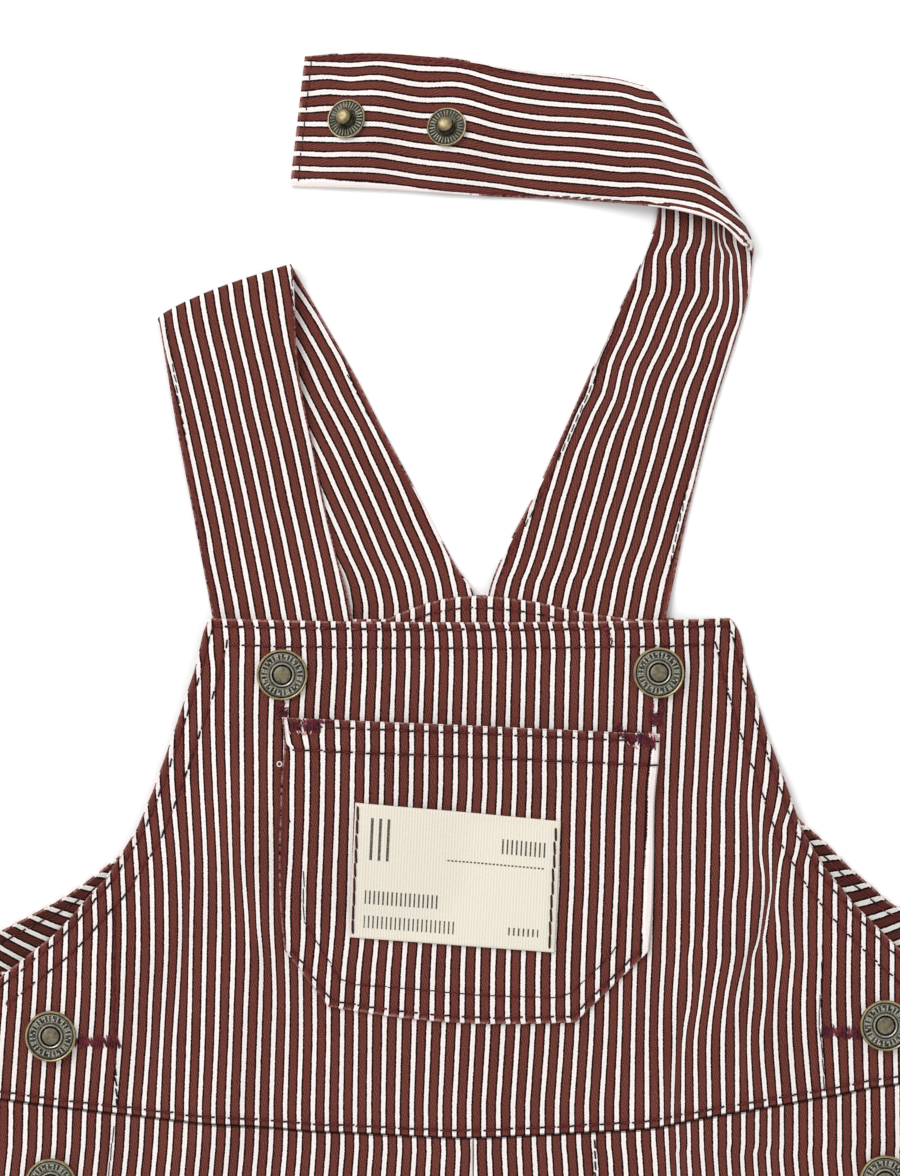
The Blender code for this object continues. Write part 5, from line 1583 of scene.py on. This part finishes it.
for side, tag in SIDES:
    lines = [line for name, line in leg_lines.items() if name in SEWN_ON[side] and name != "placket_l"]
    sew(f"stitches_leg_{tag}", stitches_on(*lines), [f"front_leg_cloth_{tag}"], topstitch_thread)
outer = [pocket_lines[name] for name in ("mouth_1", "mouth_2", "rim")]
sew("stitches_pocket", stitches_on(*outer) + [SIDE_TICK], ["pocket_cloth"], topstitch_thread)
sew("stitches_pocket_inner", stitches_on(pocket_lines["inner"], length=TIGHT_LENGTH, gap=0.0),
    ["pocket_cloth"], topstitch_thread, TIGHT_RISE, INNER_RADIUS)
sew("stitches_label", stitches_on(*label_lines.values(), length=LABEL_STITCH_LENGTH, gap=0.0),
    ["label_cloth"], dark_thread, TIGHT_RISE, HEAVY_RADIUS)

BAR_TACKS = (
    # from x, from drop, to x, to drop, half width, stitches to a millimetre
    (-115.6, 124.4, -102.6, 124.2, 2.1, 3.0),
    (103.4, 121.2, 114.8, 121.6, 2.0, 3.0),
    (-52.2, 31.9, -43.6, 31.7, 2.2, 2.4),
    (-49.5, 30.1, -40.0, 29.9, 0.9, 1.6),
    (-55.3, 25.6, -54.5, 29.6, 2.0, 2.6),
    (46.0, 34.6, 54.6, 36.4, 2.2, 2.6),
    (43.4, 31.5, 45.4, 35.2, 1.3, 2.2),
    (54.6, 28.2, 54.5, 31.4, 2.0, 4.4),
    (53.1, 23.9, 53.1, 29.0, 0.8, 2.8),
    (56.1, 23.9, 56.1, 29.0, 0.8, 2.6),
    (39.6, 2.2, 41.8, 8.2, 0.7, 1.8),
)
FADED_TACKS = (
    (52.4, 34.2, 55.0, 35.0, 0.7, 2.2), (46.8, 37.0, 49.6, 38.2, 0.4, 1.2),
    (-52.0, 33.2, -45.0, 33.4, 0.7, 0.9),
)
TACK_WANDER = 0.6
TACK_REACH = (0.55, 1.15)
TACK_SLANT = 0.35
LOOP_AT = (-55.7, 42.6)
LOOP_RADIUS = 0.72
LOOP_STITCHES = 10


def tack(ax, ad, bx, bd, half, crowd):
    """The crowded zigzag of one bar tack."""
    start, end = np.array((ax, ad)), np.array((bx, bd))
    span = end - start
    length = np.linalg.norm(span)
    side = np.array((-span[1], span[0])) / length
    count = int(length * crowd)
    made = []
    for k in range(count):
        spot = start + span * (k + thread_draw.uniform(-TACK_WANDER, TACK_WANDER)) / count
        reach = half * thread_draw.uniform(*TACK_REACH, 2)
        slant = span / length * thread_draw.normal(TACK_SLANT, TACK_SLANT)
        made.append((spot - side * reach[0] - slant, spot + side * reach[1] + slant))
    return made


for name, rows, look, radius in (("bar_tacks", BAR_TACKS, tack_thread, TACK_RADIUS),
                                 ("faded_tacks", FADED_TACKS, faded_thread, LOOSE_RADIUS)):
    sew(name, [ends for row in rows for ends in tack(*row)], ["bib_cloth", "pocket_cloth"], look,
        TACK_RISE, radius)
loop = [np.array(LOOP_AT) + LOOP_RADIUS * np.array((math.cos(turn), math.sin(turn)))
        for turn in np.linspace(0, 2 * math.pi, LOOP_STITCHES + 1)]
sew("loose_loop", list(zip(loop, loop[1:])), ["bib_cloth", "pocket_cloth"], loose_thread, LOOP_RISE,
    LOOSE_RADIUS)

# ---------------------------------------------------------------------------
# Press studs: six ring caps on the front and two open posts on the free strap end.
# Pressed brass with a dark antique finish, worn bright on the raised rings; painted highlights on rim and
# dome tops, and painted shade over the patina in the grooves.
# ---------------------------------------------------------------------------
CAP_SIDES = 60
CAP_PROFILE = (
    # radius, height
    (6.6, 0.0), (7.2, 0.2), (7.45, 0.7), (7.45, 1.4), (7.32, 1.75), (7.1, 1.92), (6.88, 1.8), (6.74, 1.3),
    (6.5, 1.12), (6.3, 1.3), (6.05, 1.32), (5.25, 1.32), (4.45, 1.32), (3.95, 1.3), (3.8, 1.05), (3.66, 1.1),
    (3.5, 1.62), (3.3, 1.8), (3.1, 1.7), (2.98, 1.15), (2.76, 0.95), (2.6, 1.05), (2.42, 1.5), (2.15, 1.62),
    (1.1, 1.7),
)
CAP_MARKS = (
    # from radius, to radius, which of the faces in turn are raised
    (5.25, 6.05, (1, 0, 1, 1, 0, 1, 0, 0, 1, 0, 1, 0, 1, 1, 0)),
    (4.45, 5.25, (1, 0, 1, 0, 0, 1, 0, 1, 1, 0, 1, 0, 1, 0, 0, 1, 0, 1, 1, 0)),
)
POST_MARKS = ((3.3, 5.1, (1, 0)),)
POST_PROFILE = (
    (5.4, 0.0), (5.8, 0.2), (5.9, 0.6), (5.75, 0.95), (5.45, 0.9), (5.3, 0.55), (5.1, 0.5), (3.3, 0.75),
    (3.0, 0.7), (2.8, 0.95), (2.45, 0.95), (2.25, 0.8), (1.95, 1.0), (1.85, 2.4), (2.15, 3.0), (2.2, 3.5),
    (1.95, 3.95), (1.5, 4.2), (0.8, 4.3),
)
CAP_TONES = (
    # beyond radius, above height, how bright (worn brass, painted highlight, painted shade), how gilt; the
    # first row that fits counts
    (6.9, 1.5, 0.97, 0.95), (6.9, -1, 0.35, 0.95), (6.72, -1, 0.16, 0.5), (6.5, -1, 0.06, 0.2),
    (6.3, -1, 0.28, 0.3), (6.07, -1, 0.40, 0.2), (4.43, 1.47, 0.88, 0.15), (4.43, -1, 0.06, 0.0),
    (3.9, -1, 0.36, 0.1), (3.58, -1, 0.02, 0.0), (3.02, -1, 0.88, 0.2), (2.5, -1, 0.02, 0.0),
    (1.0, -1, 0.34, 0.55), (-1, -1, 0.44, 0.9),
)
# On the posts the dome is painted brighter towards its top as painted highlight, and darker towards its foot
# as painted shade
POST_TONES = (
    (5.35, -1, 0.55, 0.8), (4.9, 0.78, 0.32, 0.5), (3.2, 0.84, 0.32, 0.5), (3.2, -1, 0.0, 0.0),
    (-1, 3.2, 0.56, 1.0), (-1, 1.2, 0.16, 1.0), (-1, -1, 0.06, 0.8),
)
MARK_RIM = 0.06
MARK_HEIGHT = 0.22
MARK_LEVEL = 0.6           # how level a face is that takes a mark
SMOOTH_BELOW = 42.0        # degrees
SEAT_TURNS = np.arange(0, 2 * math.pi, 0.4)
SEAT_IN = 0.1
CAP_TURN = 17.0            # degrees between one cap's marks and the next one's
CAP_SEAT = 6.4
POST_SEAT = 5.7
brass, tree, shader = new_material("antique_brass")
place = node(tree, "TexCoord").outputs["Object"]
tarnish = noise(place, 700.0, 3.0, 0.65)
grime = noise(place, 2400.0, 2.0, 0.6)
# Each face's brightness mark holds wear on the raised rings together with painted highlights and painted
# shade
bright = plus(mark_of(tree, "rubbed_and_painted_light"), scaled(tarnish, 0.7, -0.35))
bright = plus(bright, scaled(grime, 0.4, -0.2), clamp=True)
silver = blend(tarnish, (0.36, 0.345, 0.28, 1), (0.62, 0.60, 0.51, 1))
golden = blend(tarnish, (0.25, 0.195, 0.085, 1), (0.55, 0.44, 0.23, 1))
worn_metal = blend(mark_of(tree, "gilt"), silver, golden)
fill(shader, {"Base Color": blend(bright, (0.012, 0.014, 0.011, 1), worn_metal),
              "Roughness": scaled(bright, -0.14, 0.50), "Metallic": 0.75,
              "Normal": bumped(grime, 0.25, 0.0001)})


def turned_plate(name, profile, sides):
    """A closed round plate raised from a flat disc, ring by ring."""
    bpy.ops.object.select_all(action="DESELECT")
    bpy.ops.mesh.primitive_circle_add(vertices=sides, radius=profile[0][0] * MM, fill_type="NGON")
    plate = bpy.context.object
    plate.name = name
    bpy.ops.object.mode_set(mode="EDIT")
    bpy.ops.mesh.select_all(action="SELECT")
    for (radius, height), (next_radius, next_height) in zip(profile, profile[1:]):
        rise = (0, 0, (next_height - height) * MM)
        bpy.ops.mesh.extrude_region_move(TRANSFORM_OT_translate={"value": rise})
        share = next_radius / radius
        bpy.ops.transform.resize(value=(share, share, 1.0), center_override=(0, 0, 0))
    bpy.ops.mesh.select_all(action="DESELECT")
    bpy.ops.mesh.select_mode(type="VERT")
    bpy.ops.mesh.select_non_manifold()
    bpy.ops.mesh.edge_face_add()
    bpy.ops.mesh.select_all(action="SELECT")
    bpy.ops.mesh.normals_make_consistent(inside=False)
    bpy.ops.object.mode_set(mode="OBJECT")
    return plate


def raise_marks(plate, marks):
    """Raise chosen faces of the rings between two radii each."""
    bpy.ops.object.select_all(action="DESELECT")
    plate.select_set(True)
    bpy.context.view_layer.objects.active = plate
    bpy.ops.object.mode_set(mode="EDIT")
    bpy.ops.mesh.select_mode(type="FACE")
    bpy.ops.mesh.select_all(action="DESELECT")
    bpy.ops.object.mode_set(mode="OBJECT")
    for face in plate.data.polygons:
        away = math.hypot(face.center.x, face.center.y) / MM
        turn = int(math.atan2(face.center.y, face.center.x) % (2 * math.pi) / (2 * math.pi) * CAP_SIDES)
        face.select = face.normal.z > MARK_LEVEL and any(
            low < away < high and pattern[turn % len(pattern)] for low, high, pattern in marks)
    bpy.ops.object.mode_set(mode="EDIT")
    bpy.ops.mesh.inset(thickness=MARK_RIM * MM, depth=MARK_HEIGHT * MM, use_individual=True)
    bpy.ops.object.mode_set(mode="OBJECT")


def finish_stud(plate, tones):
    """Smooth the curved faces and mark how bright and how gilt each face is; the brightness holds wear,
    painted highlight and painted shade.
    """
    bpy.ops.object.select_all(action="DESELECT")
    plate.select_set(True)
    bpy.context.view_layer.objects.active = plate
    bpy.ops.object.shade_smooth_by_angle(angle=math.radians(SMOOTH_BELOW))
    for modifier in list(plate.modifiers):
        bpy.ops.object.modifier_apply(modifier=modifier.name)
    centres = np.array([face.center for face in plate.data.polygons]) / MM
    found = [next(row[2:] for row in tones if math.hypot(x, y) > row[0] and z > row[1])
             for x, y, z in centres]
    for mark, values in zip(("rubbed_and_painted_light", "gilt"), zip(*found)):
        plate.data.attributes.new(mark, "FLOAT", "FACE").data.foreach_set("value", values)
    plate.data.materials.append(brass)


cap = turned_plate("cap_model", CAP_PROFILE, CAP_SIDES)
raise_marks(cap, CAP_MARKS)
finish_stud(cap, CAP_TONES)
post = turned_plate("post_model", POST_PROFILE, CAP_SIDES)
raise_marks(post, POST_MARKS)
finish_stud(post, POST_TONES)


def set_stud(name, model, node_name, turn, skins, radius, lean=None):
    """Place one stud on the cloth where its node stands, turned, and leaning with the cloth."""
    low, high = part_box(node_name)
    centre = (low + high) / 2
    x, drop = as_seen(np.array((centre.x / MM, BIB_TOP_Y - centre.y / MM)), high.z / MM)
    rests = [rest_at(x + radius * math.cos(a), drop + radius * math.sin(a), skins)
             for a in (() if lean else SEAT_TURNS)]
    seat = max(rest[0] for rest in rests + [rest_at(x, drop, skins)] if rest is not None)
    mesh = model.data.copy()
    mesh.name = name
    piece = bpy.data.objects.new(name, mesh)
    bpy.context.collection.objects.link(piece)
    points = np.array([vertex.co for vertex in mesh.vertices])
    angle = math.radians(turn)
    spun = np.column_stack((points[:, 0] * math.cos(angle) - points[:, 1] * math.sin(angle),
                            points[:, 0] * math.sin(angle) + points[:, 1] * math.cos(angle), points[:, 2]))
    if lean:
        way, tip = np.radians(lean)
        spun = spun @ np.array(Matrix.Rotation(tip, 3, Vector((-math.sin(way), math.cos(way), 0.0)))).T
    spun += np.array((x, BIB_TOP_Y - drop, seat - SEAT_IN)) * MM
    mesh.vertices.foreach_set("co", spun.ravel())
    mesh.update()
    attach(piece, "root")
    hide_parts(node_name)


front_skins = ["bib_cloth", "front_leg_cloth_l", "front_leg_cloth_r", "pocket_cloth"]
for k, node_name in enumerate(("cap_bib_l", "cap_bib_r", "cap_side_upper_l", "cap_side_upper_r",
                               "cap_side_lower_l", "cap_side_lower_r")):
    set_stud(node_name.replace("cap", "ring_cap"), cap, node_name, CAP_TURN * k, front_skins, CAP_SEAT)
for node_name, lean in POST_LEANS.items():
    set_stud(node_name.replace("stud", "post"), post, node_name, lean[0], ["strap_cloth_r_upper"], POST_SEAT,
             lean)
for model in (cap, post):
    bpy.data.objects.remove(model, do_unlink=True)
for node_name in ("stud_strap_l_upper", "stud_strap_l_lower"):
    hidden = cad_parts[node_name]
    for slot in hidden.material_slots:
        slot.material = brass
